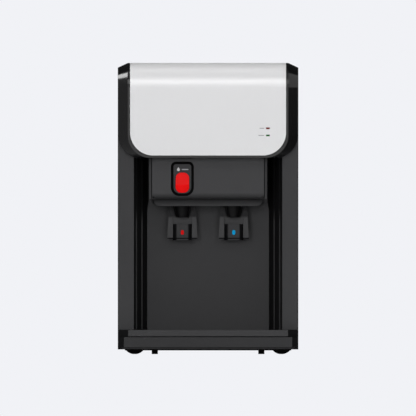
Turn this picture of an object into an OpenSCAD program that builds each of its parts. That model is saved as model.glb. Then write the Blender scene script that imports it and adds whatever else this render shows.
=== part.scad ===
// Benchtop hot and cold water dispenser with push-back taps, a safety button and a pull-out drip tray.
// Millimetres. Front faces -Y, up is +Z, the feet stand on Z = 0.

/* [Cabinet] */
// Overall width over the side panels
body_w = 310; // [285:1:340]
// Overall depth from the fascia to the rear edges
body_d = 360; // [330:1:400]
// Overall height from the floor to the top
body_h = 500; // [460:1:530]
// Thickness of the moulded walls
wall = 3; // [2.6:0.1:3.4]
// Width of the front column at each side of the niche
column_w = 27.5; // [25:0.5:30]
// Rounding of the outer upright edge of each column
column_r = 4; // [3.5:0.5:8]
// Seam left between neighbouring outer panels
seam = 0.3; // [0.2:0.1:0.5]

/* [Head] */
// Height of the head, from its underside to the top
head_h = 164; // [160:1:170]
// How far the head stands in front of the columns
head_overhang = 20; // [18:1:26]
// Width of the silver fascia
fascia_w = 268; // [256:1:270]
// Thickness of the silver fascia
fascia_t = 3; // [2.5:0.1:3.5]
// Corner radius at the lower end of the fascia
fascia_corner_r = 35; // [28:1:40]
// Front-facing rim of the bezel around the fascia
rim_w = 4; // [3:0.5:5]
// How far the bezel bevel falls back to the sides
bevel_drop = 8; // [6:0.5:9]
// Corner radius at the lower end of the bezel
head_corner_r = 42; // [38:1:46]
// Radius between the front and the top of the head
top_r = 42; // [38:1:46]
// How far the fascia runs back over the top
fascia_run = 75; // [70:1:90]
// Height of the top cover with its side skirts
lid_h = 38; // [34:1:44]
// Width of one indicator window
led_w = 6.5; // [5:0.5:8]
// Height of one indicator window
led_h = 2.9; // [2.5:0.1:3.5]
// Upright distance between the two indicators
led_pitch = 12.3; // [10:0.5:15]

/* [Base] */
// Height of the feet
foot_h = 8; // [7:0.5:10]
// Height of the base over the feet
base_h = 33.7; // [32:0.1:36]
// Height of the front panel of the base
plinth_h = 21; // [20:0.5:22]
// Width of the front panel of the base
plinth_w = 289; // [284:1:292]
// Width of the drip tray
tray_w = 274.4; // [266:0.2:276]
// Gap under and around the drip tray
tray_gap = 1.2; // [0.8:0.1:1.4]
// Width of the drip grille
grille_w = 200; // [180:2:204]
// Thickness of the drip grille
grille_t = 2.8; // [2.4:0.1:3]
// Width of one slot in the grille
slot_w = 4.2; // [3.6:0.1:4.6]
// Distance from slot to slot in the grille
slot_pitch = 7.6; // [7:0.1:9]
// Radius of the domed front feet
dome_r = 20.3; // [18:0.1:24]
// Diameter of the rear feet
peg_d = 10.6; // [9:0.1:14]

/* [Niche] */
// Depth of the niche behind the columns
niche_depth = 100; // [98:1:106]
// Width of the niche at its back wall
niche_back_w = 209; // [204:1:216]

/* [Taps] */
// Distance between the two taps
tap_pitch = 88.2; // [84:0.2:92]
// Distance of the tap axis from the back wall
tap_reach = 41; // [40:0.5:43]
// Width of the tap housing
housing_w = 192; // [184:1:200]
// Depth of the tap housing
housing_d = 86; // [85:0.5:90]
// Height of the tap housing
housing_h = 81.6; // [80:0.2:84]
// Height of the set-back lower edge of the tap housing
housing_step = 12; // [11:0.5:13]
// Diameter of the spout at its upper end
spout_top_d = 27; // [25:0.5:28]
// Diameter of the spout at its tip
spout_tip_d = 18.6; // [17:0.2:20]
// Length of the spout
spout_len = 19.6; // [17:0.2:21]
// Width of the lever at its lower end
lever_w = 51.6; // [50:0.2:53]
// How far the lever hangs below the tap housing
lever_drop = 54.8; // [52:0.2:57]
// Width of the dark pad in the lever
pad_w = 32.8; // [30:0.2:34]
// Diameter of the pin the lever turns on
pin_d = 4; // [3.5:0.1:4.5]

/* [Safety button] */
// Width of the safety button
button_w = 23; // [21:0.5:24]
// Height of the safety button
button_h = 34.4; // [32:0.2:34.8]
// Width of the dark groove around the button plate
groove_w = 4.6; // [3.6:0.2:4.8]
// Width of the button plate
plate_w = 30.4; // [29.8:0.2:32]
// Height of the button plate
plate_h = 50.2; // [49.4:0.2:51]
// How far the button stands out of its plate
button_proud = 4; // [3:0.5:5]
// Height of the plate centre over the underside of the tap housing
button_rise = 46.6; // [46.2:0.2:47]

/* [Rear] */
// Depth of the recess that holds the condenser
rear_recess = 28; // [26:1:30]
// Thickness of the rear sheet
sheet = 1.2; // [1:0.1:1.6]
// Outer diameter of the condenser tube
cond_d = 5; // [4.5:0.1:5.5]
// Number of condenser runs
cond_runs = 12; // [8:2:12]
// Distance between the condenser wires
wire_pitch = 12; // [10:1:16]
// Diameter of the condenser wires
wire_d = 1.8; // [1.5:0.1:2]
// Inner diameter of the water inlet, for a 6.35 mm hose
inlet_bore = 6.6; // [6.5:0.1:7]
// Inner diameter of the cord gland
gland_bore = 8.4; // [7:0.2:9]

/* [Inside] */
// Height of the tank shelf over the floor
shelf_z = 200; // [198:1:206]
// Outer diameter of the cold tank
cold_d = 96; // [88:1:106]
// Height of the cold tank
cold_h = 190; // [170:1:194]
// Outer diameter of the hot tank
hot_d = 92; // [84:1:98]
// Height of the hot tank
hot_h = 150; // [130:1:160]
// Diameter of the compressor shell
comp_d = 112; // [104:1:112]
// Height of the compressor shell
comp_h = 132; // [120:1:136]
// Outer diameter of the water hoses
hose_d = 10; // [9:0.2:10]
// Outer diameter of the refrigerant lines
line_d = 6; // [5:0.2:6.4]

/* [Hidden] */
$fn = 64;
eps = 0.01;
fit = 0.3;
run_fit = 0.05;

// Main planes of the cabinet
hw = body_w/2;
y_front = -body_d/2;
y_rear = body_d/2;
y_col = y_front + head_overhang;
y_back = y_col + niche_depth;
y_room = y_back + wall;
y_plate = y_rear - rear_recess;
y_sheet = y_plate - sheet;
head_z = body_h - head_h;
lid_z = body_h - lid_h;
y_run = y_front + fascia_run;
arc_y = y_front + top_r;
arc_z = body_h - top_r;
fascia_z = head_z + rim_w + 1;
col_in = hw - column_w;

// Levels of the base
plinth_top = foot_h + plinth_h;
base_top = foot_h + base_h;
floor_z = foot_h + wall;
tray_z0 = plinth_top + tray_gap;
tray_z1 = base_top - fit;
tray_back = y_back - 2.5;
tray_floor = 2;
post_in = tray_w/2 + fit;
bevel_slope = bevel_drop/(hw - plinth_w/2);
post_drop = (hw - post_in)*bevel_slope;
grille_y0 = y_col + 4;
grille_y1 = y_back - 8;
ledge = 3.2;
dome_in = 29;
dome_y = 40;
dome_flat = 3;
peg_in = 63.5;
peg_y = 40;

// Taps, seen from the tap axis at the underside of the housing
hb_z = head_z - housing_h;
y_tap = y_back - tap_reach;
y_house = y_back - housing_d;
pivot_y = -14;
pivot_z = 46;
body_r = 15;
seat_z = 6;
chamber_z = 30;
cap_z = 34;
yoke_z = 66;
collar_z = pivot_z + 2.4;
collar_t = 3;
stem_r = 3;
shank_z = 18;
shank_r = 8;
nut_t = 6;
nut_r = 14;
spigot_y = tap_reach + wall + nut_t + 6;
spigot_len = 18;
arm_in = 18.8;
arm_out = 22.8;
lever_y0 = tap_reach - 26;
lever_y1 = lever_y0 + 6;
lever_z = -lever_drop;
cheek_z = -19;
pad_top = -31;
pad_bulge = 5;
pad_side = 7;
pad_tail = 4;
lip_t = 1.4;
mark_z = lever_z + 9.3;

// Safety button
btn_x = -tap_pitch/2;
btn_z = hb_z + button_rise;
press_z = btn_z - 6.6;
y_wall = y_house + wall;
y_base = y_wall + 2;
y_flange = y_base + 2;
y_guide = y_flange + 10;

// Rear fittings
cond_y = y_plate + rear_recess/2;
cond_x = hw - 45;
cond_z0 = shelf_z - 14;
tail_x = cond_x + 12;
drain_z = 150;
inlet_x = -10;
inlet_z = 112;
gland_x = -45;
gland_z = 76;
switch_x = -100;
switch_z = 96;
rocker_r = 11;
rocker_w = 14.8;
rocker_gap = 25;
rocker_y = y_plate - 5;
rocker_tilt = 8;
frame_w = 56;
frame_h = 34;
frame_d = 18;
frame_rim = 3;

// Inner pieces
shelf_t = 1.5;
shelf_top = shelf_z + shelf_t;
coil_d = 7;
coil_r = cold_d/2 + coil_d/2 + 0.6;
cold_in_r = coil_r + coil_d/2 + 0.5;
cold_foam_r = cold_in_r + 14.5;
cold_foot = 18;
feed_x = 26;
out_in = 8;
feed_y = 22;
drain_y = 20;
cold_x = hw - wall - 1.5 - cold_foam_r;
tank_gap = 27;
tank_y = y_room + tank_gap + cold_foam_r;
out_x = cold_x - out_in;
cold_z = shelf_top + cold_foot;
hot_in_r = hot_d/2 + 4;
hot_foam_r = hot_in_r + 6;
hot_x = -(hw - wall - 12 - hot_foam_r);
hot_foot = 12;
hot_z = shelf_top + hot_foot;
band_low = 24;
band_h = 50;
band_t = 3;
box_w = 94;
box_d = 70;
box_h = 66;
box_t = 2;
box_x = hot_x - 50;
box_y = tank_y - 30;
hose_r = hose_d/2;
bend = 11;
comp_x = hw - wall - 38 - comp_d/2;
comp_y = tank_y + 2;
grommet_h = 10;
comp_foot = floor_z + grommet_h;
comp_base_w = 132;
comp_base_d = 92;
comp_base_t = 3;
comp_round = 26;
grommet_r = 9;
grommet_in = 10;
comp_z = comp_foot + comp_base_t;
comp_top = comp_z + comp_h;
disch_x = comp_x + 28;
disch_y = comp_y + 22;
suct_x = cold_x + coil_r;
suct_rise = 92;
suct_z = comp_z + suct_rise;
float_x = cold_x - 32.5;
cond_z1 = cold_z + cold_h + 18;
cond_pitch = (cond_z1 - cond_z0)/(cond_runs - 1);
lid_top = cold_z + cold_h + 3;
valve_h = 12;
float_drop = 44;
float_pin = 11;
float_reach = 55;
float_r = 18;
float_z = cold_z + cold_h - float_drop;
valve_top = lid_top + valve_h;

// Shared shapes

module block(a, b) {
  translate(a) cube(b - a);
}

module both_sides() {
  children();
  mirror([1, 0, 0]) children();
}

module rounded_rect(w, h, r) {
  square([w - 2*r, h], center = true);
  square([w, h - 2*r], center = true);
  for (sx = [-1, 1], sy = [-1, 1]) {
    translate([sx*(w/2 - r), sy*(h/2 - r)]) circle(r);
  }
}

// Draws a front view outline (x, z) between two depths
module along_y(y0, y1) {
  translate([0, y1, 0]) rotate([90, 0, 0]) linear_extrude(y1 - y0) children();
}

// Draws a side view outline (y, z) between two widths
module along_x(x0, x1) {
  translate([x0, 0, 0]) rotate([90, 0, 90]) linear_extrude(x1 - x0) children();
}

module rod_y(x, z, r, y0, y1) {
  translate([x, y0, z]) rotate([-90, 0, 0]) cylinder(h = y1 - y0, r = r);
}

module rod_x(y, z, r, x0, x1) {
  translate([x0, y, z]) rotate([0, 90, 0]) cylinder(h = x1 - x0, r = r);
}

module rod_z(x, y, r, z0, z1) {
  translate([x, y, z0]) cylinder(h = z1 - z0, r = r);
}

function unit(v) = v/norm(v);

// A round tube along square corners, each corner a quarter bend
module pipe(pts, d, r) {
  n = len(pts);
  for (i = [0:n - 2]) {
    u = unit(pts[i + 1] - pts[i]);
    a = pts[i] + (i == 0 ? 0 : r)*u;
    b = pts[i + 1] - (i == n - 2 ? 0 : r)*u;
    straight(a, b, d);
  }
  for (i = [1:n - 2]) {
    corner(pts[i], unit(pts[i] - pts[i - 1]), unit(pts[i + 1] - pts[i]), d, r);
  }
}

module straight(a, b, d) {
  u = unit(b - a);
  s = abs(u[2]) > 0.5 ? [1, 0, 0] : [0, 0, 1];
  v = cross(u, s);
  multmatrix([[s[0], v[0], u[0], a[0]], [s[1], v[1], u[1], a[1]], [s[2], v[2], u[2], a[2]], [0, 0, 0, 1]])
    cylinder(h = norm(b - a), d = d);
}

module corner(p, u, v, d, r) {
  w = cross(u, v);
  c = p - r*u + r*v;
  multmatrix([[-v[0], u[0], w[0], c[0]], [-v[1], u[1], w[1], c[1]], [-v[2], u[2], w[2], c[2]], [0, 0, 0, 1]])
    rotate_extrude(angle = 90) translate([r, 0]) circle(d = d);
}

// A wound wire around the Z axis
module winding(r, d, turns, height, steps, sides) {
  n = round(turns*steps);
  pts = [for (i = [0:n], k = [0:sides - 1])
    let (a = 360*i/steps, b = 360*k/sides, q = r + d/2*cos(b))
    [q*cos(a), q*sin(a), height*i/n + d/2*sin(b)]];
  sidefaces = [for (i = [0:n - 1], k = [0:sides - 1])
    let (m = (k + 1) % sides)
    [i*sides + k, (i + 1)*sides + k, (i + 1)*sides + m, i*sides + m]];
  ends = [[for (k = [0:sides - 1]) k], [for (k = [0:sides - 1]) n*sides + sides - 1 - k]];
  polyhedron(points = pts, faces = concat(sidefaces, ends), convexity = 10);
}

// Outline of the head seen from the side, set in by n
module head_profile(n, far) {
  translate([y_front + n, head_z]) square([far - y_front - n, arc_z - head_z]);
  translate([arc_y, head_z]) square([far - arc_y, body_h - n - head_z]);
  translate([arc_y, arc_z]) circle(top_r - n);
}

// Upright outline with rounded lower corners, seen from the front
module hanging_outline(half_w, z0, r, z1) {
  translate([-half_w, z0 + r]) square([2*half_w, z1 - z0 - r]);
  translate([-half_w + r, z0]) square([2*half_w - 2*r, r + 1]);
  for (s = [-1, 1]) {
    translate([s*(half_w - r), z0 + r]) circle(r);
  }
}

module fascia_outline(o) {
  hanging_outline(fascia_w/2 + o, fascia_z - o, fascia_corner_r + o, body_h + 10);
}

// Base

module plinth_plan(front_half, drop) {
  polygon([[front_half, y_front], [hw, y_front + drop], [hw, y_rear], [-hw, y_rear],
    [-hw, y_front + drop], [-front_half, y_front]]);
}

module base_plinth() {
  color([0.20, 0.20, 0.21]) difference() {
    union() {
      translate([0, 0, foot_h]) linear_extrude(plinth_h) plinth_plan(plinth_w/2, bevel_drop);
      translate([0, 0, plinth_top]) linear_extrude(base_h - plinth_h) plinth_plan(post_in, post_drop);
    }
    block([-post_in, y_front - 1, plinth_top], [post_in, y_room + 1, base_top + 1]);
    block([-hw + wall, y_col + 2*wall, plinth_top], [hw - wall, y_rear - wall, base_top + 1]);
    block([-hw + wall, y_room, floor_z], [hw - wall, y_rear - wall, base_top + 1]);
    block([-plinth_w/2 + 2*wall, y_front + 2*wall, floor_z],
      [plinth_w/2 - 2*wall, y_room + 1, plinth_top - wall]);
    block([-hw - 1, y_front - 1, foot_h - 1], [hw + 1, y_front + wall, foot_h + 3.4]);
  }
}

module drip_tray() {
  color([0.22, 0.22, 0.23]) difference() {
    along_x(-tray_w/2, tray_w/2)
      polygon([[y_front + 1, tray_z0], [tray_back, tray_z0], [tray_back, tray_z1], [y_front + 1.6, tray_z1],
        [y_front, tray_z1 - 1.6], [y_front, tray_z0 + 1]]);
    block([-grille_w/2 + ledge, grille_y0 + ledge, tray_z0 + tray_floor],
      [grille_w/2 - ledge, grille_y1 - ledge, tray_z1 + 1]);
    block([-grille_w/2 - fit, grille_y0 - fit, tray_z1 - grille_t],
      [grille_w/2 + fit, grille_y1 + fit, tray_z1 + 1]);
  }
}

module drip_grille() {
  n = floor((grille_w - 16)/slot_pitch);
  mid = (grille_y0 + grille_y1)/2;
  color([0.16, 0.16, 0.17]) difference() {
    block([-grille_w/2, grille_y0, tray_z1 - grille_t], [grille_w/2, grille_y1, tray_z1]);
    for (i = [0:n - 1]) {
      x = (i - (n - 1)/2)*slot_pitch;
      block([x - slot_w/2, grille_y0 + 7, 0], [x + slot_w/2, mid - 3, tray_z1 + 1]);
      block([x - slot_w/2, mid + 3, 0], [x + slot_w/2, grille_y1 - 7, tray_z1 + 1]);
    }
  }
}

module front_feet() {
  color([0.05, 0.05, 0.05]) both_sides() intersection() {
    translate([hw - dome_in, y_front + dome_y, sqrt(dome_r*dome_r - dome_flat*dome_flat)]) sphere(dome_r);
    block([0, y_front, 0], [hw, y_front + 2*dome_y, foot_h]);
  }
}

module rear_feet() {
  color([0.08, 0.08, 0.08]) both_sides() rod_z(hw - peg_in, y_rear - peg_y, peg_d/2, 0, foot_h);
}

// Cabinet

module side_plan() {
  translate([col_in, y_col]) square([column_w - column_r, wall]);
  translate([hw - wall, y_col + column_r]) square([wall, y_rear - y_col - column_r]);
  translate([hw - wall - 14, y_sheet - wall]) square([14.5, wall]);
  intersection() {
    translate([hw - column_r, y_col + column_r]) difference() {
      circle(column_r);
      circle(column_r - wall);
    }
    translate([hw - column_r, y_col]) square([column_r, column_r]);
  }
}

module side_panel() {
  difference() {
    union() {
      translate([0, 0, base_top]) linear_extrude(lid_z - base_top) side_plan();
      block([hw - wall - 12, y_room + 10, shelf_z - wall], [hw - wall + 0.5, y_sheet - 8, shelf_z]);
    }
    rear_screw_bores();
  }
}

module rear_screw_bores() {
  for (z = [base_top + 18, (base_top + lid_z)/2, lid_z - 18]) {
    rod_y(hw - wall - 7, z, 1.65, y_sheet - wall - 1, y_plate + 1);
  }
}

module left_side_panel() {
  color([0.23, 0.23, 0.24]) mirror([1, 0, 0]) side_panel();
}

module right_side_panel() {
  color([0.23, 0.23, 0.24]) side_panel();
}

module lid_section(n) {
  rim = fascia_w/2 + rim_w;
  polygon([[-hw + n, lid_z - n], [-hw + n, body_h - bevel_drop - n], [-rim, body_h - n], [rim, body_h - n],
    [hw - n, body_h - bevel_drop - n], [hw - n, lid_z - n]]);
}

module top_cover() {
  color([0.06, 0.06, 0.065]) difference() {
    along_y(y_run + seam, y_rear) lid_section(0);
    along_y(y_run - 1, y_rear - wall) lid_section(wall);
  }
}

// The bezel in section: across the width, and down from the outer face
bezel_in = fascia_w/2 - 6;
bezel_rim = fascia_w/2 + rim_w;
bezel_edge = fascia_w/2 + 0.2;
bezel_back = bevel_drop + wall;
bezel_z = head_z + head_corner_r;
bezel_pts = [[bezel_in, fascia_t], [bezel_edge, fascia_t], [bezel_edge, 0], [bezel_rim, 0],
  [hw, bevel_drop], [hw, bezel_back], [bezel_in, bezel_back]];

module bezel_section(sign) {
  polygon([for (p = bezel_pts) [p[0], sign*p[1]]]);
}

module bezel_arc() {
  multmatrix([[0, 0, -1, 0], [-1, 0, 0, arc_y], [0, 1, 0, arc_z], [0, 0, 0, 1]])
    rotate_extrude(angle = 90) polygon([for (p = bezel_pts) [top_r - p[1], p[0]]]);
}

// Corner points of an upright outline with rounded lower corners
function hanging_pts(half_w, z0, r, z1, n) = concat([[-half_w, z1]],
  [for (i = [0:n]) let (a = 180 + 90*i/n) [-half_w + r + r*cos(a), z0 + r + r*sin(a)]],
  [for (i = [0:n]) let (a = 270 + 90*i/n) [half_w - r + r*cos(a), z0 + r + r*sin(a)]],
  [[half_w, z1]]);

// The sloping lower end of the bezel, from the rim outline back to the body outline
module bezel_slope() {
  front = hanging_pts(bezel_rim, fascia_z - rim_w, fascia_corner_r + rim_w, bezel_z, 20);
  rear = hanging_pts(hw, head_z, head_corner_r, bezel_z, 20);
  n = len(front);
  pts = concat([for (p = front) [p[0], y_front, p[1]]], [for (p = rear) [p[0], y_front + bevel_drop, p[1]]]);
  near = [for (i = [0:n - 1]) let (j = (i + 1) % n) [i, j, n + j]];
  far = [for (i = [0:n - 1]) let (j = (i + 1) % n) [i, n + j, n + i]];
  caps = [[for (i = [0:n - 1]) n - 1 - i], [for (i = [0:n - 1]) n + i]];
  polyhedron(points = pts, faces = concat(near, far, caps), convexity = 4);
}

module bezel_lower() {
  difference() {
    union() {
      bezel_slope();
      along_y(y_front + bevel_drop, y_col)
        polygon(hanging_pts(hw, head_z, head_corner_r, bezel_z, 20));
    }
    along_y(y_front + bezel_back, y_col + 1)
      polygon(hanging_pts(hw - wall, head_z + wall, head_corner_r - wall, bezel_z + 1, 20));
    along_y(y_front - 1, y_front + fascia_t) fascia_outline(0.2);
    along_y(y_front - 1, y_front + bezel_back + 1) fascia_outline(-6);
  }
}

module bezel_skirt() {
  along_x(hw - wall, hw) intersection() {
    head_profile(bevel_drop, y_run);
    union() {
      translate([y_front, bezel_z]) square([head_overhang, body_h - bezel_z]);
      translate([y_front, lid_z]) square([fascia_run, lid_h]);
    }
  }
}

module head_bezel() {
  color([0.05, 0.05, 0.055]) union() {
    bezel_lower();
    both_sides() {
      bezel_skirt();
      translate([0, y_front, bezel_z]) linear_extrude(arc_z - bezel_z) bezel_section(1);
      along_y(arc_y, y_run) translate([0, body_h]) bezel_section(-1);
      bezel_arc();
    }
  }
}

led_in = 31.2;
led_drop = 112.2;
led_x = fascia_w/2 - led_in;
led_z = body_h - led_drop;
board_w = 44;
board_h = 36;
board_t = 1.6;
board_gap = 7;
board_y = y_front + fascia_t + board_gap;

module fascia_panel() {
  color([0.80, 0.80, 0.81]) difference() {
    union() {
      intersection() {
        along_y(y_front - 1, y_run) fascia_outline(0);
        along_x(-fascia_w/2 - 1, fascia_w/2 + 1) difference() {
          head_profile(0, y_run);
          head_profile(fascia_t, y_run + 1);
        }
      }
      for (sx = [-1, 1], sz = [-1, 1]) {
        rod_y(led_x + sx*(board_w/2 - 4), led_z - led_pitch/2 + sz*(board_h/2 - 4), 3,
          y_front + fascia_t - 0.5, board_y);
      }
    }
    for (k = [0, 1]) {
      block([led_x - led_w/2, y_front - 1, led_z - k*led_pitch - led_h/2],
        [led_x + led_w/2, y_front + fascia_t + 1, led_z - k*led_pitch + led_h/2]);
    }
  }
}

module led_lens(z) {
  block([led_x - led_w/2 + 0.1, y_front + 0.2, z - led_h/2 + 0.1],
    [led_x + led_w/2 - 0.1, board_y, z + led_h/2 - 0.1]);
  block([led_x - led_w/2 - 1.5, y_front + fascia_t, z - led_h/2 - 1],
    [led_x + led_w/2 + 1.5, y_front + fascia_t + 1, z + led_h/2 + 1]);
}

module hot_indicator() {
  color([0.45, 0.08, 0.08]) led_lens(led_z);
}

module power_indicator() {
  color([0.08, 0.32, 0.08]) led_lens(led_z - led_pitch);
}

module indicator_board() {
  color([0.05, 0.25, 0.12])
    block([led_x - board_w/2, board_y, led_z - led_pitch/2 - board_h/2],
      [led_x + board_w/2, board_y + board_t, led_z - led_pitch/2 + board_h/2]);
}

// Niche

function niche_half(o, y0) = [[col_in + o, y0], [col_in - 3.5 + o, y_col + niche_depth*0.25 + o],
  [col_in - 5.5 + o, y_col + niche_depth*0.25 + o], [col_in - 13 + o, y_col + niche_depth*0.6 + o],
  [col_in - 15 + o, y_col + niche_depth*0.6 + o], [niche_back_w/2 + o, y_back + o]];

function both_halves(h) = concat(h, [for (i = [len(h) - 1:-1:0]) [-h[i][0], h[i][1]]]);

module niche_liner() {
  y0 = y_col + wall;
  color([0.19, 0.19, 0.20]) difference() {
    union() {
      translate([0, 0, base_top + 0.4]) linear_extrude(head_z + wall - base_top - 0.4) {
        polygon(both_halves(niche_half(wall, y0)));
        for (s = [-1, 1]) {
          translate([s*(col_in + 6), y0 + wall/2]) square([12, wall], center = true);
        }
      }
      block([-col_in + 0.5, y_col, head_z], [col_in - 0.5, y0 + 1, head_z + wall]);
      block([-niche_back_w/2, y_back, plinth_top], [niche_back_w/2, y_room, base_top + 1]);
    }
    translate([0, 0, base_top]) linear_extrude(head_z - base_top)
      polygon(both_halves(niche_half(0, y0 - 1)));
    for (s = [-1, 1]) {
      rod_y(s*tap_pitch/2, hb_z + shank_z, shank_r + 0.2, y_back - 1, y_room + 1);
    }
  }
}

house_r = 11;
house_set = 22;
house_cove = 10;
house_flange = 5;
flange_set = 9;

// Side view of the front part of the tap housing, set in by n
module house_front(n, far) {
  z0 = hb_z + housing_step;
  translate([y_house + n, z0 + house_r]) square([far - y_house - n, head_z - z0 - house_r + n]);
  translate([y_house + house_r, z0 + n]) square([far - y_house - house_r, house_r]);
  translate([y_house + house_r, z0 + house_r]) circle(house_r - n);
}

// Side view of the set-back lower part of the tap housing, set in by n
module house_lower(n, far) {
  translate([y_house + house_set + n, hb_z + n]) square([far - y_house - house_set - n, housing_step + 4]);
}

module tap_housing() {
  z0 = hb_z + housing_step;
  color([0.24, 0.24, 0.25]) difference() {
    union() {
      intersection() {
        along_x(-housing_w/2, housing_w/2) house_front(0, y_back);
        along_y(y_house - 1, y_back) hanging_outline(housing_w/2, z0, 9, head_z);
      }
      intersection() {
        along_x(-housing_w/2, housing_w/2) union() {
          house_lower(0, y_back);
          translate([y_house + house_set - house_cove, z0 - house_cove]) difference() {
            square([house_cove + 1, house_cove + 1]);
            circle(house_cove);
          }
        }
        along_y(y_house, y_back) hanging_outline(housing_w/2 - 0.6, hb_z, 14, z0 + 20);
      }
      along_y(y_back - 4, y_back) hanging_outline(housing_w/2 + house_flange, hb_z + 2, 14, head_z);
      along_y(y_house + flange_set, y_back) difference() {
        hanging_outline(housing_w/2 + house_flange, hb_z + 2, 14, head_z);
        translate([-housing_w/2 + 0.5, hb_z]) square([housing_w - 1, housing_h + 1]);
      }
    }
    intersection() {
      along_x(-housing_w/2 + wall, housing_w/2 - wall) union() {
        house_front(wall, y_back + 1);
        house_lower(wall, y_back + 1);
      }
      along_y(y_house, y_back + 2) hanging_outline(housing_w/2 - wall, hb_z + wall, 12, head_z + wall + 1);
    }
    for (s = [-1, 1]) {
      block([s*tap_pitch/2 - arm_out - 4.2, y_house + house_set + wall, hb_z - 1],
        [s*tap_pitch/2 + arm_out + 4.2, y_tap + lever_y1 + 12.5, z0]);
    }
    along_y(y_house - 1, y_base + 1) translate([btn_x, btn_z])
      plate_outline(plate_w + 2*groove_w, plate_h + 2*groove_w, 9, 15);
  }
}

// Safety button

// Plate outline with tighter corners at the top than at the bottom
module plate_outline(w, h, r_top, r_low) {
  rounded_rect(w, h, r_low);
  translate([0, h/4]) rounded_rect(w, h/2, r_top);
}

module safety_plate() {
  half = plate_w/2 + groove_w;
  low = hb_z + housing_step + house_r;
  color([0.24, 0.22, 0.23]) difference() {
    union() {
      block([btn_x - half - 5, y_wall, low + fit],
        [btn_x + half + 5, y_base, btn_z + plate_h/2 + groove_w + 3]);
      along_y(y_wall, y_base) translate([btn_x, btn_z])
        plate_outline(2*half - 2*fit, plate_h + 2*groove_w - 2*fit, 9 - fit, 15 - fit);
      along_y(y_house, y_wall + 0.5) translate([btn_x, btn_z]) plate_outline(plate_w, plate_h, 5, 11);
    }
    along_y(y_house - 1, y_base + 1) translate([btn_x, press_z])
      rounded_rect(button_w + 2*fit, button_h + 2*fit, 9.7 + fit);
  }
}

module safety_button() {
  z0 = press_z - button_h/2;
  z1 = press_z + button_h/2;
  color([0.84, 0.05, 0.05]) union() {
    intersection() {
      along_x(btn_x - button_w, btn_x + button_w)
        polygon([[y_base + 0.5, z0], [y_house - 1.4, z0], [y_house - button_proud, press_z - 3.5],
          [y_house - 1.2, z1], [y_base + 0.5, z1]]);
      along_y(y_house - 10, y_base + 1) translate([btn_x, press_z]) rounded_rect(button_w, button_h, 9.7);
    }
    along_y(y_base, y_flange) translate([btn_x, press_z]) rounded_rect(button_w + 4, button_h + 4, 11);
    rod_y(btn_x, press_z, 4, y_flange - 0.5, y_guide + wall);
  }
}

module safety_spring() {
  color([0.70, 0.70, 0.72]) translate([btn_x, y_flange + 0.6, press_z]) rotate([-90, 0, 0])
    winding(6.5, 1, 4, y_guide - y_flange - 1.2, 14, 6);
}

module safety_guide() {
  color([0.30, 0.30, 0.31]) difference() {
    union() {
      block([btn_x - 20, y_guide, press_z - 9], [btn_x + 20, y_guide + wall, press_z + 9]);
      for (s = [-1, 1]) {
        block([btn_x + s*18.75 - 1.25, y_base, press_z - 9],
          [btn_x + s*18.75 + 1.25, y_guide + 1, press_z + 9]);
      }
    }
    rod_y(btn_x, press_z, 4 + run_fit, y_guide - 1, y_guide + wall + 1);
  }
}

// Taps

module at_tap(s) {
  translate([s*tap_pitch/2, y_tap, hb_z]) children();
}

module tap_body(up) {
  low = up > 0 ? shank_z : shank_z - spigot_len;
  high = up > 0 ? shank_z + spigot_len : shank_z;
  difference() {
    union() {
      rod_z(0, 0, body_r, 0, cap_z);
      block([-8, pivot_y - 4.5, cap_z - 6], [8, pivot_y + 3.5, yoke_z + 4]);
      block([-5, 10.5, cap_z - 6], [5, 14.5, yoke_z + 4]);
      block([-8, pivot_y - 4.5, yoke_z], [8, 14.5, yoke_z + 4]);
      rod_y(0, shank_z, shank_r, body_r - 3, spigot_y + 6);
      rod_y(0, shank_z, 13, tap_reach - 3, tap_reach);
      rod_z(0, spigot_y, 5, low, high);
    }
    rod_z(0, 0, 10, seat_z, chamber_z);
    rod_z(0, 0, 5, -1, seat_z + 1);
    rod_z(0, 0, stem_r + run_fit, chamber_z - 1, cap_z + 1);
    rod_y(0, shank_z, 4, 5, spigot_y + 1);
    rod_z(0, spigot_y, 3, up > 0 ? low : low - 1, up > 0 ? high + 1 : high);
    rod_x(pivot_y, pivot_z, pin_d/2 + run_fit, -9, 9);
  }
}

module tap_spout() {
  difference() {
    translate([0, 0, -spout_len]) cylinder(h = spout_len, r1 = spout_tip_d/2, r2 = spout_top_d/2);
    rod_z(0, 0, 5, -spout_len - 1, 1);
    rod_z(0, 0, 7, -spout_len - 1, -spout_len + 3);
  }
}

module tap_stem() {
  rod_z(0, 0, stem_r, seat_z + 1, yoke_z - 6);
  rod_z(0, 0, 7.5, seat_z + run_fit, seat_z + 5);
  rod_z(0, 0, 8, collar_z, collar_z + collar_t);
}

module tap_spring() {
  translate([0, 0, collar_z + collar_t + 0.7])
    winding(5.5, 1.2, 4, yoke_z - collar_z - collar_t - 1.4, 14, 6);
}

function lever_edge(z) = arm_out + (lever_w/2 - arm_out)*(2 - z)/(2 - lever_z);

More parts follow.
